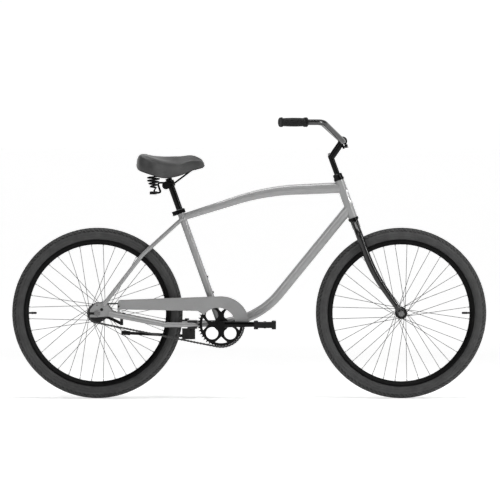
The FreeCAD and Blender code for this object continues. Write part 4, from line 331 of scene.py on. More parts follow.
def turned(name, base, axis, outline, material, body, count, flute=None):
    """Solid of revolution: outline is height along the axis and radius; flute changes the radius by angle."""
    axis = axis.normalized()
    side = axis.orthogonal().normalized()
    up = axis.cross(side)
    verts = []
    for height, radius in outline:
        for spot in range(count):
            turn = 2 * math.pi * spot / count
            size = radius + (flute(height, turn) if flute else 0.0)
            verts.append(base + axis * height + (side * math.cos(turn) + up * math.sin(turn)) * size)
    return add_piece(name, verts, capped_faces(len(outline), count), material, body)


def swept(name, points, radius, material, body, count, closed=False):
    """Round bead along points, with level frames carried from point to point."""
    verts = []
    total = len(points)
    normal = None
    for index, point in enumerate(points):
        before = points[index - 1] if closed or index else point
        after = points[(index + 1) % total] if closed or index < total - 1 else point
        run = (after - before).normalized()
        across = run.orthogonal() if normal is None else normal - run * normal.dot(run)
        normal = across.normalized()
        side = run.cross(normal)
        for spot in range(count):
            turn = 2 * math.pi * spot / count
            verts.append(point + (normal * math.cos(turn) + side * math.sin(turn)) * radius)
    faces = ring_faces(total, count, closed_rings=True) if closed else capped_faces(total, count)
    return add_piece(name, verts, faces, material, body)


def join(name, pieces):
    """One piece from several that ride on the same body."""
    bpy.ops.object.select_all(action="DESELECT")
    for piece in pieces:
        piece.select_set(True)
    bpy.context.view_layer.objects.active = pieces[0]
    bpy.ops.object.join()
    pieces[0].name = name
    pieces[0].data.name = name
    pieces[0].select_set(False)
    return pieces[0]


def curve_through(points, steps):
    """Points of a smooth curve through the given ones, in equal parts between each pair."""
    out = []
    for index in range(len(points) - 1):
        p0 = points[max(index - 1, 0)]
        p1, p2 = points[index], points[index + 1]
        p3 = points[min(index + 2, len(points) - 1)]
        for step in range(steps):
            t = step / steps
            out.append(
                0.5 * (2 * p1 + (p2 - p0) * t + (2 * p0 - 5 * p1 + 4 * p2 - p3) * t**2
                       + (3 * p1 - p0 - 3 * p2 + p3) * t**3)
            )
    return out + [points[-1]]


def evened(points, spacing, closed=True):
    """Points at an even spacing along a chain, closed on itself or open."""
    ring = points + [points[0]] if closed else points
    lengths = [(b - a).length for a, b in zip(ring, ring[1:])]
    total = sum(lengths)
    count = max(FEWEST_POINTS, round(total / spacing))
    out = []
    index, passed = 0, 0.0
    for step in range(count if closed else count + 1):
        want = min(total * step / count, total * NEARLY_ALL)
        while passed + lengths[index] < want:
            passed += lengths[index]
            index += 1
        share = (want - passed) / max(lengths[index], TINY)
        out.append(ring[index].lerp(ring[index + 1], share))
    return out


# Tyres

# Section of the tyre, in mm: radius and half width of its foot in the rim, innermost first
SECTION_RADIUS = 27.0
SECTION_CENTRE = 305.5
TYRE_FOOT = ((281.0, 12.6), (286.5, 13.0))

# Steps round the wheel, and the widths and starts of the gaps in them
TREAD_PITCHES = 116
PITCH_STEPS = 8
HALF_PITCH = 4
BLOCK_GAP_STEPS = 2
SHOULDER_GAP_STEPS = 5
TIE_BAR_FROM = 6

# Section angles of the bands of the tread, in degrees from the crown, and degrees for a step of slant
CROWN_RIB_END = 11
RIB_GROOVE_END = 13
INNER_BLOCKS_END = 32
BLOCK_GROOVE_END = 36
OUTER_BLOCKS_END = 50
SHOULDER_BLOCKS_END = 63
SHOULDER_RIBS_END = 79
SIPE_FROM = 5
RIB_GAP_FROM = 65
WALL_LINES = (93, 95)
INNER_SLANT, SHOULDER_SLANT = 7, 4

# Depths below the top of the tread, in mm
TREAD_DEPTH = 2.6
SIPE_DEPTH = 1.2
TIE_BAR_DEPTH = 0.6
SHOULDER_DEPTH = 0.2
RIB_DEPTH, RIB_GAP_DEPTH = 0.45, 0.9
WALL_LINE_DEPTH, WALL_DEPTH = 0.55, 1.1

# Section angles of the points from the crown to the edge of the rim
HALF_PROFILE = (
    0, 4, 8, 10, 12, 14, 20, 26, 31, 33, 35, 37, 42, 47, 49, 51, 54, 57, 60, 62, 64, 68, 72, 76, 78, 80,
    84, 88, 91, 93, 95, 97, 102, 108, 114, 120.5,
)


def tread(angle, step):
    """Depth of the tread below its top, in mm, at a section angle and a step of the pitch."""
    out = abs(angle)
    if out < CROWN_RIB_END:
        return SIPE_DEPTH if step % HALF_PITCH == 0 and out > SIPE_FROM else 0.0
    if out < RIB_GROOVE_END:
        return TREAD_DEPTH
    if out < INNER_BLOCKS_END:
        slanted = step + round(out / INNER_SLANT)
        return TREAD_DEPTH if slanted % PITCH_STEPS < BLOCK_GAP_STEPS else 0.0
    if out < BLOCK_GROOVE_END:
        return TREAD_DEPTH if step < TIE_BAR_FROM else TIE_BAR_DEPTH
    if out < OUTER_BLOCKS_END:
        return TREAD_DEPTH if (step + HALF_PITCH) % PITCH_STEPS < BLOCK_GAP_STEPS else 0.0
    if out < SHOULDER_BLOCKS_END:
        slanted = step + round((out - OUTER_BLOCKS_END) / SHOULDER_SLANT)
        return TREAD_DEPTH if slanted % PITCH_STEPS < SHOULDER_GAP_STEPS else SHOULDER_DEPTH
    if out < SHOULDER_RIBS_END:
        return RIB_GAP_DEPTH if step % HALF_PITCH == 0 and out > RIB_GAP_FROM else RIB_DEPTH
    return WALL_LINE_DEPTH if out in WALL_LINES else WALL_DEPTH


def tyre(end):
    """Balloon tyre with a ribbed crown, two rows of blocks and ribbed shoulders."""
    angles = [-a for a in reversed(HALF_PROFILE[1:])] + list(HALF_PROFILE)
    columns = TREAD_PITCHES * PITCH_STEPS
    centre = AXLES[end]
    plain = [0.0 for point in TYRE_FOOT]
    verts = []
    grooves = []
    for column in range(columns):
        turn = 2 * math.pi * column / columns
        outward = Vector((math.cos(turn), 0, math.sin(turn)))
        profile = [(radius, -half) for radius, half in TYRE_FOOT]
        depths = [tread(angle, column % PITCH_STEPS) for angle in angles]
        grooves += [*plain, *(depth / TREAD_DEPTH for depth in depths), *plain]
        for angle, depth in zip(angles, depths):
            size = SECTION_RADIUS - depth
            bend = math.radians(angle)
            profile.append((SECTION_CENTRE + size * math.cos(bend), size * math.sin(bend)))
        profile += reversed(TYRE_FOOT)
        verts += [centre + outward * radius * MM + Vector((0, side * MM, 0)) for radius, side in profile]
    count = len(verts) // columns
    faces = []
    for column in range(columns):
        here, after = column * count, (column + 1) % columns * count
        for spot in range(count - 1):
            faces.append((here + spot, here + spot + 1, after + spot + 1, after + spot))
    piece = add_piece(f"{end}_tyre_tread", verts, faces, TYRE_RUBBER, f"{end}_wheel")
    # Groove depth per point, which the tyre material turns into painted shade in the grooves
    piece.data.attributes.new("groove", "FLOAT", "POINT").data.foreach_set("value", grooves)
    sharpen(piece, angle=40.0)
    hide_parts(f"{end}_tyre")


# Valve cap: outline of height and radius, in metres
CAP_REACH = 0.2565
CAP_SIDES = 56
CAP_RIBS = 14
CAP_RIB_DEPTH = 0.00025
CAP_RIBS_END = 0.016
CAP_OUTLINE = (
    (0.0, 0.0039), (0.0006, 0.0044), (0.0035, 0.0045), (0.0036, 0.0041), (0.0150, 0.0041),
    (0.0175, 0.0038), (0.0195, 0.0030), (0.0200, 0.0012),
)


def valve_cap(end, inward):
    """Ribbed dust cap screwed over the end of the valve."""
    foot = AXLES[end] - inward * CAP_REACH
    piece = turned(
        f"{end}_valve_cap", foot, inward, CAP_OUTLINE, PEDAL_PLASTIC, f"{end}_wheel", CAP_SIDES,
        lambda height, turn: CAP_RIB_DEPTH * math.cos(CAP_RIBS * turn) if height < CAP_RIBS_END else 0.0,
    )


# Saddle, in mm

SADDLE_STATIONS = (
    # x, width, lower edge, crown, height of the shoulder as a share
    (-438, 150, 897, 938, 0.90),
    (-420, 220, 886, 953, 0.92),
    (-380, 246, 872, 945, 0.86),
    (-330, 196, 859, 941, 0.74),
    (-275, 112, 867, 943, 0.66),
    (-225, 68, 886.5, 948.5, 0.70),
    (-190, 48, 896, 936, 0.74),
    (-175, 26, 901, 919, 0.76),
)
SADDLE_EDGE = 5.0
SADDLE_SKIRT = 6.0
SADDLE_HOLLOW = 18.3
SADDLE_ROUND = 9.0
SADDLE_INSET = 1.5
SADDLE_END_SIZE = 0.35
SADDLE_STEPS = 11
SECTION_STEPS = 7
SADDLE_CLOSED_LIFT = 0.5
PIPING_RADIUS = 1.5
PIPING_LIFT = 0.6
PIPING_SIDES = 10
SWELL_CAP = 3.5
SWELL_PASSES = 30
SWELL_FRAMES = 20


def saddle_section(x, width, low, high, shoulder):
    """Ring of the cover at one station, and how many of its points the pan holds still."""
    half = width / 2 - SADDLE_INSET
    height = high - low - SADDLE_INSET
    foot = half - SADDLE_EDGE
    # Half section from the lower edge to the crown: how far out, and the share of the height
    side = [
        Vector((foot, 0)), Vector((half, 0.28)), Vector((half * 0.985, 0.55)),
        Vector((half * 0.86, shoulder)), Vector((half * 0.45, 0.55 * shoulder + 0.44)), Vector((0, 1.0)),
    ]
    right = [(y, low + rise * height) for y, rise in curve_through(side, SECTION_STEPS)]
    crown = right + [(-y, z) for y, z in reversed(right[:-1])]
    open_below = SADDLE_STATIONS[1][0] < x < SADDLE_STATIONS[-2][0]
    lift = SADDLE_HOLLOW if open_below else SADDLE_CLOSED_LIFT
    inner = max(foot - SADDLE_SKIRT, foot * 0.5)
    under = [(-inner, low), (-inner, low + lift), (-inner / 2, low + lift), (0, low + lift)]
    under += [(-y, z) for y, z in reversed(under[:-1])]
    return [Vector((x, y, z)) for y, z in crown + under], len(under)


def saddle_rings():
    """Rings of the cover from tail to nose, rounded off at both ends."""
    stations = [Vector(station) for station in SADDLE_STATIONS]
    first, last = stations[0][0], stations[-1][0]
    rings = []
    for station in curve_through(stations, SADDLE_STEPS):
        ring, held = saddle_section(*station)
        end = min(station[0] - first, last - station[0])
        if end < SADDLE_ROUND:
            middle = Vector((station[0], 0, (station[2] + station[3]) / 2))
            bulge = math.sqrt(1 - (1 - end / SADDLE_ROUND) ** 2)
            size = SADDLE_END_SIZE + (1 - SADDLE_END_SIZE) * bulge
            ring = [middle + (point - middle) * size for point in ring]
        rings.append(ring)
    return rings, held


def swell(piece, held):
    """Inflates the cover over its fixed edge, as a padded skin, and keeps the result in the mesh."""
    group = piece.vertex_groups.new(name="held")
    group.add(held, 1.0, "REPLACE")
    cloth = piece.modifiers.new("swell", "CLOTH")
    cloth.settings.quality = 8
    cloth.settings.mass = 0.3
    cloth.settings.bending_stiffness = 2.0
    cloth.settings.use_pressure = True
    cloth.settings.uniform_pressure_force = 4.0
    cloth.settings.vertex_group_mass = "held"
    cloth.settings.effector_weights.gravity = 0.0
    scene = bpy.context.scene
    for number in range(1, SWELL_FRAMES + 1):
        scene.frame_set(number)
    swollen = piece.evaluated_get(bpy.context.evaluated_depsgraph_get()).to_mesh()
    still = set(held)
    skin = piece.data.vertices
    lifts = [
        0.0 if vertex.index in still else max(0.0, (after.co - vertex.co).dot(vertex.normal))
        for vertex, after in zip(skin, swollen.vertices)
    ]
    beside = [[] for vertex in skin]
    for edge in piece.data.edges:
        one, other = edge.vertices
        beside[one].append(other)
        beside[other].append(one)
    for smoothing in range(SWELL_PASSES):
        lifts = [
            0.0 if index in still else sum(lifts[near] for near in around) / len(around)
            for index, around in enumerate(beside)
        ]
    normals = [vertex.normal.copy() for vertex in skin]
    for vertex, normal, lift in zip(skin, normals, lifts):
        vertex.co += normal * min(lift, SWELL_CAP * MM)
    piece.modifiers.remove(cloth)
    piece.vertex_groups.clear()
    scene.frame_set(1)


def saddle():
    """Padded cover, swollen over the pan, with piping along its lower edge."""
    rings, under = saddle_rings()
    count = len(rings[0])
    verts = [point * MM for ring in rings for point in ring]
    cover = add_piece("saddle_skin", verts, capped_faces(len(rings), count), SADDLE_VINYL, "saddle")
    shell = bmesh.new()
    shell.from_mesh(cover.data)
    bmesh.ops.recalc_face_normals(shell, faces=shell.faces)
    shell.to_mesh(cover.data)
    shell.free()
    fixed = [0, count - under - 1, *range(count - under, count)]
    held = [ring * count + spot for ring in range(len(rings)) for spot in fixed]
    swell(cover, held)
    round_off = cover.modifiers.new("round_off", "SUBSURF")
    round_off.levels = 1
    round_off.render_levels = 1
    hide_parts("saddle_cover")

    edge = [ring[0] for ring in rings] + [ring[count - under - 1] for ring in reversed(rings)]
    lift = Vector((0, 0, PIPING_LIFT))
    route = [(point + lift) * MM for point in edge]
    piping = swept(
        "saddle_piping", route, PIPING_RADIUS * MM, PAN_PLASTIC, "saddle", PIPING_SIDES, closed=True,
    )


# Saddle springs, in metres

SPRING_SPOT = Vector((-0.373, 0.068, 0.0))
SPRING_FOOT_Z = 0.806
SPRING_TOP_Z = 0.880
SPRING_WIRE = 0.005
SPRING_LEAD = 0.009
SPRING_TURNS = 4
SPRING_FOOT_RADIUS = 0.009
SPRING_TOP_RADIUS = 0.022
SPRING_CONE_SHARE = 0.6
SPRING_STEPS = 48
SPRING_SIDES = 14
LEAD_STEPS = 10
LEAD_REACH = 6
FOOT_TURN, HEAD_TURN = -1.2, 0.8


def spring_points(hand):
    """Centre line of a cone-shaped coil that stands on its foot and carries the pan on its head."""
    low = SPRING_FOOT_Z + SPRING_WIRE + SPRING_LEAD
    high = SPRING_TOP_Z - SPRING_WIRE - SPRING_LEAD

    def around(radius, turn, level):
        middle = SPRING_SPOT * Vector((1, hand, 1))
        return middle + Vector((radius * math.cos(turn), hand * radius * math.sin(turn), level))

    steps = SPRING_STEPS * SPRING_TURNS
    coil = []
    for step in range(steps + 1):
        share = step / steps
        widening = min(1, share / SPRING_CONE_SHARE)
        radius = SPRING_FOOT_RADIUS + (SPRING_TOP_RADIUS - SPRING_FOOT_RADIUS) * widening
        coil.append(around(radius, 2 * math.pi * SPRING_TURNS * share, low + (high - low) * share))
    foot = around(SPRING_FOOT_RADIUS, FOOT_TURN, low - SPRING_LEAD)
    head = around(SPRING_TOP_RADIUS, HEAD_TURN, high + SPRING_LEAD)
    rise = Vector((0, 0, SPRING_WIRE))
    lead_in = curve_through([foot - rise, foot, coil[0], coil[LEAD_REACH]], LEAD_STEPS)
    lead_out = curve_through([coil[-1 - LEAD_REACH], coil[-1], head, head + rise], LEAD_STEPS)
    return lead_in[:2 * LEAD_STEPS] + coil + lead_out[LEAD_STEPS + 1:]


def springs():
    """Two coils under the back of the saddle, joined as one piece that rides on the saddle frame."""
    coils = []
    for side, hand in SIDES.items():
        line = spring_points(hand)
        coils.append(swept(f"coil_{side}", line, SPRING_WIRE / 2, BLACK_PAINT, "saddle_frame", SPRING_SIDES))
    both = join("saddle_coils", coils)
    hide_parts("saddle_springs")
    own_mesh(both)


# Grips and pedals

GRIP_RINGS = 26
GRIP_RADIUS = 0.0155
GRIP_SWELL = 0.0015
GRIP_FLANGE = 0.019
FLANGE_WIDTH = 0.009
RING_DEPTH = 0.0007
RING_SHAPE = ((0.1, 0.0), (0.35, 0.0), (0.6, RING_DEPTH), (0.85, RING_DEPTH))
FLANGE_STEPS = 12
GRIP_SIDES = 72
GRIP_FLUTES = 20
FLUTE_DEPTH = 0.0002
GRIP_END = ((0.0006, 0.004), (0.0002, 0.009), (0.0, 0.0125), (0.0006, 0.0148))
GRIP_MOUTH = (0.0145, 0.0114)
BAR_LEVEL = 1.076
BAR_END = (0.122, 0.326)
BAR_BEND = (0.285, 0.262)


def grip(side):
    """Rubber grip: a swollen, finely ringed body between two rounded flanges, closed at its end."""
    node = NODES[f"{side}_grip"]
    hand = SIDES[side]
    bar_end, bend = (Vector((x, hand * y, BAR_LEVEL)) for x, y in (BAR_END, BAR_BEND))
    inward = (bend - bar_end).normalized()
    spots = [vertex.co.dot(inward) for vertex in node.data.vertices]
    length = max(spots) - min(spots)
    base = bar_end + inward * (min(spots) - bar_end.dot(inward))

    def flange(start):
        rounds = []
        for step in range(1, FLANGE_STEPS):
            turn = math.pi * step / FLANGE_STEPS
            height = start + FLANGE_WIDTH * (1 - math.cos(turn)) / 2
            rounds.append((height, GRIP_RADIUS + (GRIP_FLANGE - GRIP_RADIUS) * math.sin(turn)))
        return rounds

    outline = [*GRIP_END, *flange(0.0)]
    first, last = FLANGE_WIDTH, length - FLANGE_WIDTH
    for ring in range(GRIP_RINGS):
        for share, drop in RING_SHAPE:
            place = (ring + share) / GRIP_RINGS
            swell_here = GRIP_SWELL * math.sin(math.pi * place)
            outline.append((first + (last - first) * place, GRIP_RADIUS + swell_here - drop))
    outline += [*flange(last), *((length, radius) for radius in GRIP_MOUTH)]
    piece = turned(
        f"{side}_ringed_grip", base, inward, outline, GRIP_RUBBER, "handlebar", GRIP_SIDES,
        lambda height, turn: FLUTE_DEPTH * math.cos(GRIP_FLUTES * turn) if first < height < last else 0.0,
    )
    sharpen(piece, angle=40.0)
    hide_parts(f"{side}_grip")


PEDAL_BLOCKS = 7
BLOCK_HALF = (0.0085, 0.0160)
BLOCK_ROUND = 0.0035
BLOCK_GAP = 0.0022
BLOCK_OVERHANG = 0.002
BLOCK_CHAMFER = 0.0012
BLOCK_END_SIZE = 0.9
CORNER_STEPS = 4
NOTCH_DEPTH = 0.0018
NOTCH_AT = 0.4
NOTCH_SHARES = (0.55, NOTCH_AT, 0.25, -0.25, -NOTCH_AT, -0.55)
NOTCH_SPREAD = 1.5


def block_outline():
    """Section of a tread block: a rounded rectangle with two notches across its top and bottom."""
    wide, tall = BLOCK_HALF
    points = []
    for corner, (x, z) in enumerate(((1, 1), (-1, 1), (-1, -1), (1, -1))):
        for step in range(CORNER_STEPS + 1):
            turn = math.radians(90 * (corner + step / CORNER_STEPS))
            points.append((
                x * (wide - BLOCK_ROUND) + BLOCK_ROUND * math.cos(turn),
                z * (tall - BLOCK_ROUND) + BLOCK_ROUND * math.sin(turn),
            ))
        if corner in (0, 2):
            for share in NOTCH_SHARES:
                deep = NOTCH_DEPTH if abs(share) == NOTCH_AT else 0.0
                points.append((x * share * (wide - BLOCK_ROUND) * NOTCH_SPREAD, z * (tall - deep)))
    return points


def pedal_treads(side):
    """Rows of notched rubber blocks on a pedal's front and rear bars."""
    low, high = (Vector(corner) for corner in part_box(f"{side}_pedal"))
    middle = (low.z + high.z) / 2
    pitch = (high.y - low.y) / PEDAL_BLOCKS
    inset = BLOCK_HALF[0] - BLOCK_OVERHANG
    outline = block_outline()[::-1]
    blocks = []
    for row in (low.x + inset, high.x - inset):
        for index in range(PEDAL_BLOCKS):
            start = low.y + pitch * index + BLOCK_GAP / 2
            end = low.y + pitch * (index + 1) - BLOCK_GAP / 2
            sections = (
                (start, BLOCK_END_SIZE), (start + BLOCK_CHAMFER, 1.0),
                (end - BLOCK_CHAMFER, 1.0), (end, BLOCK_END_SIZE),
            )
            verts = [(row + x * size, y, middle + z * size) for y, size in sections for x, z in outline]
            faces = capped_faces(len(sections), len(outline))
            name = f"{side}_block_{len(blocks)}"
            blocks.append(add_piece(name, verts, faces, PEDAL_PLASTIC, f"{side}_pedal"))
    piece = join(f"{side}_pedal_treads", blocks)
    sharpen(piece, angle=35.0)


# Nuts, badge and bead

NUT_RADIUS = 0.0111
NUT_START = {"front": 0.05515, "rear": 0.06015}
NUT_OUTLINE = (
    (0.0, 0.0125), (0.0016, 0.0125), (0.0017, NUT_RADIUS * 0.93), (0.0026, NUT_RADIUS),
    (0.0090, NUT_RADIUS), (0.0101, NUT_RADIUS * 0.9), (0.0101, 0.0055),
)
NUT_SIDES = 6


def axle_nuts(end, body):
    """Hexagon nuts with a turned shoulder, over both ends of an axle."""
    for side, hand in SIDES.items():
        outward = SIDEWAYS * hand
        base = AXLES[end] + outward * NUT_START[end]
        piece = turned(f"{end}_{side}_nut", base, outward, NUT_OUTLINE, BOLT_STEEL, body, NUT_SIDES)
        sharpen(piece, angle=25.0)


BADGE_HALF = 0.021
BADGE_RISE = 0.036
BADGE_AT = 0.083
BADGE_RINGS = 9
BADGE_SPOKES = 56
BADGE_LIFT = 0.0011
BADGE_RIM = 0.0006
BADGE_RIM_FROM = 0.82
BADGE_TUCK = 0.0022
RIVET_RISE = 0.031
RIVET_LIFT = 0.0008
RIVET_OUTLINE = ((0.0, 0.0019), (0.0005, 0.0018), (0.0010, 0.0012), (0.0012, 0.0003))
RIVET_SIDES = 20
HEAD_RADIUS = 0.018


def badge():
    """Blank oval plate, curved round the front of the head tube, with a raised rim and two rivets."""
    middle = HEAD_LOW + STEER_UP * BADGE_AT
    verts = []
    for ring in range(BADGE_RINGS):
        share = ring / (BADGE_RINGS - 1)
        lift = BADGE_LIFT + (BADGE_RIM if share > BADGE_RIM_FROM else 0.0)
        reach = HEAD_RADIUS + lift - (BADGE_TUCK if share == 1 else 0.0)
        for spoke in range(BADGE_SPOKES):
            turn = -2 * math.pi * spoke / BADGE_SPOKES
            bend = BADGE_HALF * share * math.cos(turn) / HEAD_RADIUS
            outward = STEER_FORWARD * math.cos(bend) + SIDEWAYS * math.sin(bend)
            verts.append(middle + STEER_UP * BADGE_RISE * share * math.sin(turn) + outward * reach)
    faces = ring_faces(BADGE_RINGS, BADGE_SPOKES)
    piece = add_piece("head_badge", verts, faces, BADGE_METAL, "frame")
    for name, rise in (("upper", RIVET_RISE), ("lower", -RIVET_RISE)):
        base = middle + STEER_UP * rise + STEER_FORWARD * (HEAD_RADIUS + RIVET_LIFT)
        rivet = turned(
            f"badge_rivet_{name}", base, STEER_FORWARD, RIVET_OUTLINE, BOLT_STEEL, "frame", RIVET_SIDES,
        )


SHARP_EDGE = math.radians(28)
SAME_POINT = 1e-6
SAME_FACE = 1e-5
BEAD_RADIUS = 0.0013
BEAD_INSET = 0.0003
BEAD_SPACING = 0.004
BEAD_SIDES = 10


def sharp_loops(node, keep):
    """Closed chains of a solid's sharp edges whose ends pass the test, longest first."""
    solid = bmesh.new()
    solid.from_mesh(NODES[node].data)
    bmesh.ops.remove_doubles(solid, verts=solid.verts, dist=SAME_POINT)
    near = {}
    for edge in solid.edges:
        if len(edge.link_faces) == 2 and edge.calc_face_angle() > SHARP_EDGE:
            if all(keep(vertex.co) for vertex in edge.verts):
                for vertex in edge.verts:
                    near.setdefault(vertex, []).append(edge.other_vert(vertex))
    loops = []
    while near:
        start = next(iter(near))
        chain = [start]
        following = near.pop(start)
        while following:
            step = next((vertex for vertex in following if vertex in near), None)
            if step is None:
                break
            chain.append(step)
            following = near.pop(step)
        loops.append([vertex.co.copy() for vertex in chain])
    solid.free()
    return sorted(loops, key=lambda loop: -sum((b - a).length for a, b in zip(loop, loop[1:])))


def guard_bead():
    """Rolled bead round the edge of the chain guard's outer face."""
    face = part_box("chain_guard")[0][1]
    loop = sharp_loops("chain_guard", lambda spot: abs(spot.y - face) < SAME_FACE)[0]
    points = [point + SIDEWAYS * BEAD_INSET for point in evened(loop, BEAD_SPACING)]
    piece = swept("chain_guard_bead", points, BEAD_RADIUS, FRAME_PAINT, "frame", BEAD_SIDES, closed=True)


# Fork blades

# Corners of a blade's centre line: out from the steering line, down from the head tube's lower end
BLADE_CORNERS = ((0.012, 0.02865), (0.046, 0.06545), (0.046, 0.226))
BLADE_BEND_RADII = (0.045, 0.6)
BEND_STEPS = 24
BLADE_RADIUS = 0.0138
BLADE_SIDES = 48
BLADE_STEP = 0.004
TIP_RADIUS = 0.0108
TIP_LENGTH = 0.030
TAPER_FROM = 0.5
FORK_END_OUT = 0.0525
FORK_END_HALF = 0.014
FORK_END_THICK = 0.0025
FORK_END_SQUARE = 5.0
FORK_END_TURNS = (0, 20, 40, 55, 68, 78, 86)
ROUND = 2.0
BLADE_FLATTENING = (
    # reach past the tube, half width, half thickness, squareness
    (0.006, 0.0112, 0.0088, 2.2),
    (0.013, 0.0120, 0.0055, 2.8),
    (0.020, 0.0132, 0.0032, 3.6),
    (0.026, 0.0140, 0.0026, 5.0),
)


def rounded(points, radii):
    """Points of straight runs joined by tangent arcs."""
    out = [points[0]]
    for before, corner, after, radius in zip(points, points[1:], points[2:], radii):
        into = (corner - before).normalized()
        leave = (after - corner).normalized()
        half = into.angle(leave) / 2
        start = corner - into * radius * math.tan(half)
        centre = corner + (leave - into).normalized() * radius / math.cos(half)
        for step in range(BEND_STEPS + 1):
            turn = 2 * half * step / BEND_STEPS
            out.append(centre + (start - centre) * math.cos(turn) + into * radius * math.sin(turn))
    return out + [points[-1]]


def blade_sections(path):
    """Centre, direction, half width, half thickness and squareness of each section down to the axle."""
    out = []
    for index, point in enumerate(path):
        run = path[min(index + 1, len(path) - 1)] - path[max(index - 1, 0)]
        share = max(index / (len(path) - 1) - TAPER_FROM, 0.0) / (1 - TAPER_FROM)
        radius = BLADE_RADIUS + (TIP_RADIUS - BLADE_RADIUS) * share * share
        out.append((point, run.normalized(), radius, radius, ROUND))
    end, run = path[-1], (path[-1] - path[-2]).normalized()
    for reach, half, thick, square in BLADE_FLATTENING:
        out.append((end + run * reach, run, half, thick, square))
    for turn in FORK_END_TURNS:
        reach = TIP_LENGTH + FORK_END_HALF * math.sin(math.radians(turn))
        half = FORK_END_HALF * math.cos(math.radians(turn))
        out.append((end + run * reach, run, half, FORK_END_THICK, FORK_END_SQUARE))
    return out


def fork_blade(side):
    """Smooth tapered blade, raked forward and pressed flat at the axle."""
    hand = SIDEWAYS * SIDES[side]
    route = [HEAD_LOW - STEER_UP * down + hand * out for out, down in BLADE_CORNERS]
    axle = AXLES["front"] + hand * FORK_END_OUT
    route.append(axle + (route[-1] - axle).normalized() * TIP_LENGTH)
    path = evened(rounded(route, BLADE_BEND_RADII), BLADE_STEP, closed=False)
    sections = blade_sections(path)
    verts = []
    for centre, run, half, thick, square in sections:
        across = run.cross(SIDEWAYS).normalized()
        through = run.cross(across)
        for spot in range(BLADE_SIDES):
            turn = 2 * math.pi * spot / BLADE_SIDES
            wide = math.copysign(abs(math.cos(turn)) ** (2 / square), math.cos(turn))
            deep = math.copysign(abs(math.sin(turn)) ** (2 / square), math.sin(turn))
            verts.append(centre + across * half * wide + through * thick * deep)
    faces = capped_faces(len(sections), BLADE_SIDES)
    piece = add_piece(f"{side}_blade_skin", verts, faces, FORK_PAINT, "fork")
    sharpen(piece, angle=50.0)
    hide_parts(f"{side}_fork_blade")


# Camera, floor and light

FLOOR_RINGS = (0.4, 0.8, 1.2, 1.8, 2.6, 3.6, 5.0, 8.0, 14.0, 30.0, 80.0, 200.0)
FLOOR_SIDES = 96
GLOW_FROM, GLOW_TO = 0.8, 6.0
NEAR_GLOW, FAR_GLOW = 0.3, 0.68
WHITE = (1, 1, 1, 1)
WALL_RAMP = {"From Min": 0.0, "From Max": 0.8, "To Min": 0.06, "To Max": 1.02}
CAMERA_DISTANCE = 20.0
CAMERA_AIM = Vector((0.0029, 0.0, 0.5779))
EYE_HEIGHT = 1.07
LENS_PER_METRE = 18.467
SENSOR_WIDTH = 36
CLIP_END = 500
LIGHTS = (
    # name, place, target, size, power
    ("overhead", (-0.2, -0.4, 3.6), (0, 0, 0.3), (3.6, 1.2), 90.0),
    ("key", (-2.6, -4.6, 2.9), (0, 0, 0.5), (1.8, 1.8), 46.0),
    ("front_strip", (3.0, -1.75, 1.75), (0.4, 0, 0.5), (0.25, 2.8), 55.0),
)


def floor():
    """Pale studio floor, a wide disc that glows towards its edge."""
    verts = [(0.0, 0.0, 0.0)]
    faces = []
    for ring, radius in enumerate(FLOOR_RINGS):
        start = len(verts)
        for side in range(FLOOR_SIDES):
            turn = 2 * math.pi * side / FLOOR_SIDES
            verts.append((radius * math.cos(turn), radius * math.sin(turn), 0.0))
            after = (side + 1) % FLOOR_SIDES
            if ring:
                inner = start - FLOOR_SIDES
                faces.append((inner + side, start + side, start + after, inner + after))
            else:
                faces.append((0, start + side, start + after))
    mesh = bpy.data.meshes.new("floor")
    mesh.from_pydata(verts, [], faces)
    disc = bpy.data.objects.new("floor", mesh)
    bpy.context.scene.collection.objects.link(disc)
    pale = Finish("floor_paper", grey(0.86), grey(0.9), (0.8, 0.9), mottle=2.0)
    out = pale.node("ShaderNodeVectorMath", Vector=pale.coords)
    out.operation = "LENGTH"
    glow = pale.ranged(out.outputs["Value"], GLOW_FROM, GLOW_TO, NEAR_GLOW, FAR_GLOW)
    pale.tree.links.new(glow, pale.shader.inputs["Emission Strength"])
    pale.shader.inputs["Emission Color"].default_value = WHITE
    mesh.materials.append(pale.material)
    return disc


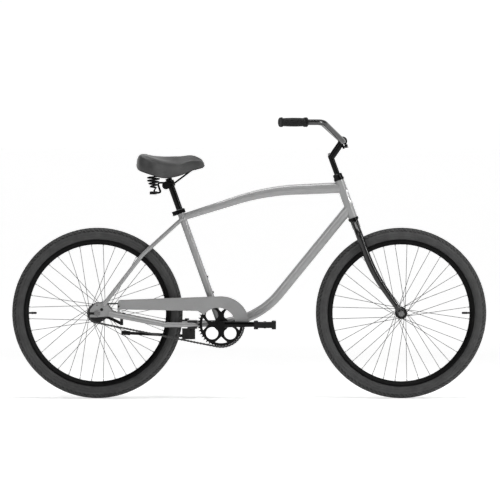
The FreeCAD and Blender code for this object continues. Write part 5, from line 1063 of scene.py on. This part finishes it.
def studio_world():
    """White wall of light behind the part that dims towards the other side of the room."""
    world = bpy.data.worlds.new("studio")
    world.use_nodes = True
    tree = world.node_tree
    way = tree.nodes.new("ShaderNodeTexCoord")
    split = tree.nodes.new("ShaderNodeSeparateXYZ")
    ramp = tree.nodes.new("ShaderNodeMapRange")
    ramp.interpolation_type = "SMOOTHSTEP"
    for name, number in WALL_RAMP.items():
        ramp.inputs[name].default_value = number
    tree.links.new(way.outputs["Generated"], split.inputs["Vector"])
    tree.links.new(split.outputs["Y"], ramp.inputs["Value"])
    tree.links.new(ramp.outputs["Result"], tree.nodes["Background"].inputs["Strength"])
    tree.nodes["Background"].inputs["Color"].default_value = WHITE
    bpy.context.scene.world = world


def camera_and_light():
    """Distant camera on the drive side, the white room and three soft lamps."""
    scene = bpy.context.scene
    camera = bpy.data.objects.new("camera", bpy.data.cameras.new("camera"))
    scene.collection.objects.link(camera)
    tilt = math.asin((EYE_HEIGHT - CAMERA_AIM.z) / CAMERA_DISTANCE)
    back = Vector((0.0, -math.cos(tilt), math.sin(tilt)))
    camera.location = CAMERA_AIM + CAMERA_DISTANCE * back
    camera.rotation_euler = (math.pi / 2 - tilt, 0, 0)
    camera.data.lens = LENS_PER_METRE * CAMERA_DISTANCE
    camera.data.sensor_width = SENSOR_WIDTH
    camera.data.clip_end = CLIP_END
    scene.camera = camera
    scene.view_settings.view_transform = "Standard"

    studio_world()
    floor()

    for name, place, target, size, power in LIGHTS:
        light = bpy.data.lights.new(name, "AREA")
        light.shape = "RECTANGLE"
        light.size, light.size_y = size
        light.energy = power
        lamp = bpy.data.objects.new(name, light)
        lamp.location = place
        lamp.visible_camera = False
        lamp.rotation_euler = (Vector(target) - Vector(place)).to_track_quat("-Z", "Y").to_euler()
        scene.collection.objects.link(lamp)


camera_and_light()
finish_nodes()
for wheel, inside in (("front", Vector((-1, 0, 0))), ("rear", Vector((1, 0, 0)))):
    tyre(wheel)
    valve_cap(wheel, inside)
for hand in SIDES:
    fork_blade(hand)
    grip(hand)
    pedal_treads(hand)
axle_nuts("front", "fork")
axle_nuts("rear", "frame")
saddle()
springs()
badge()
guard_bead()
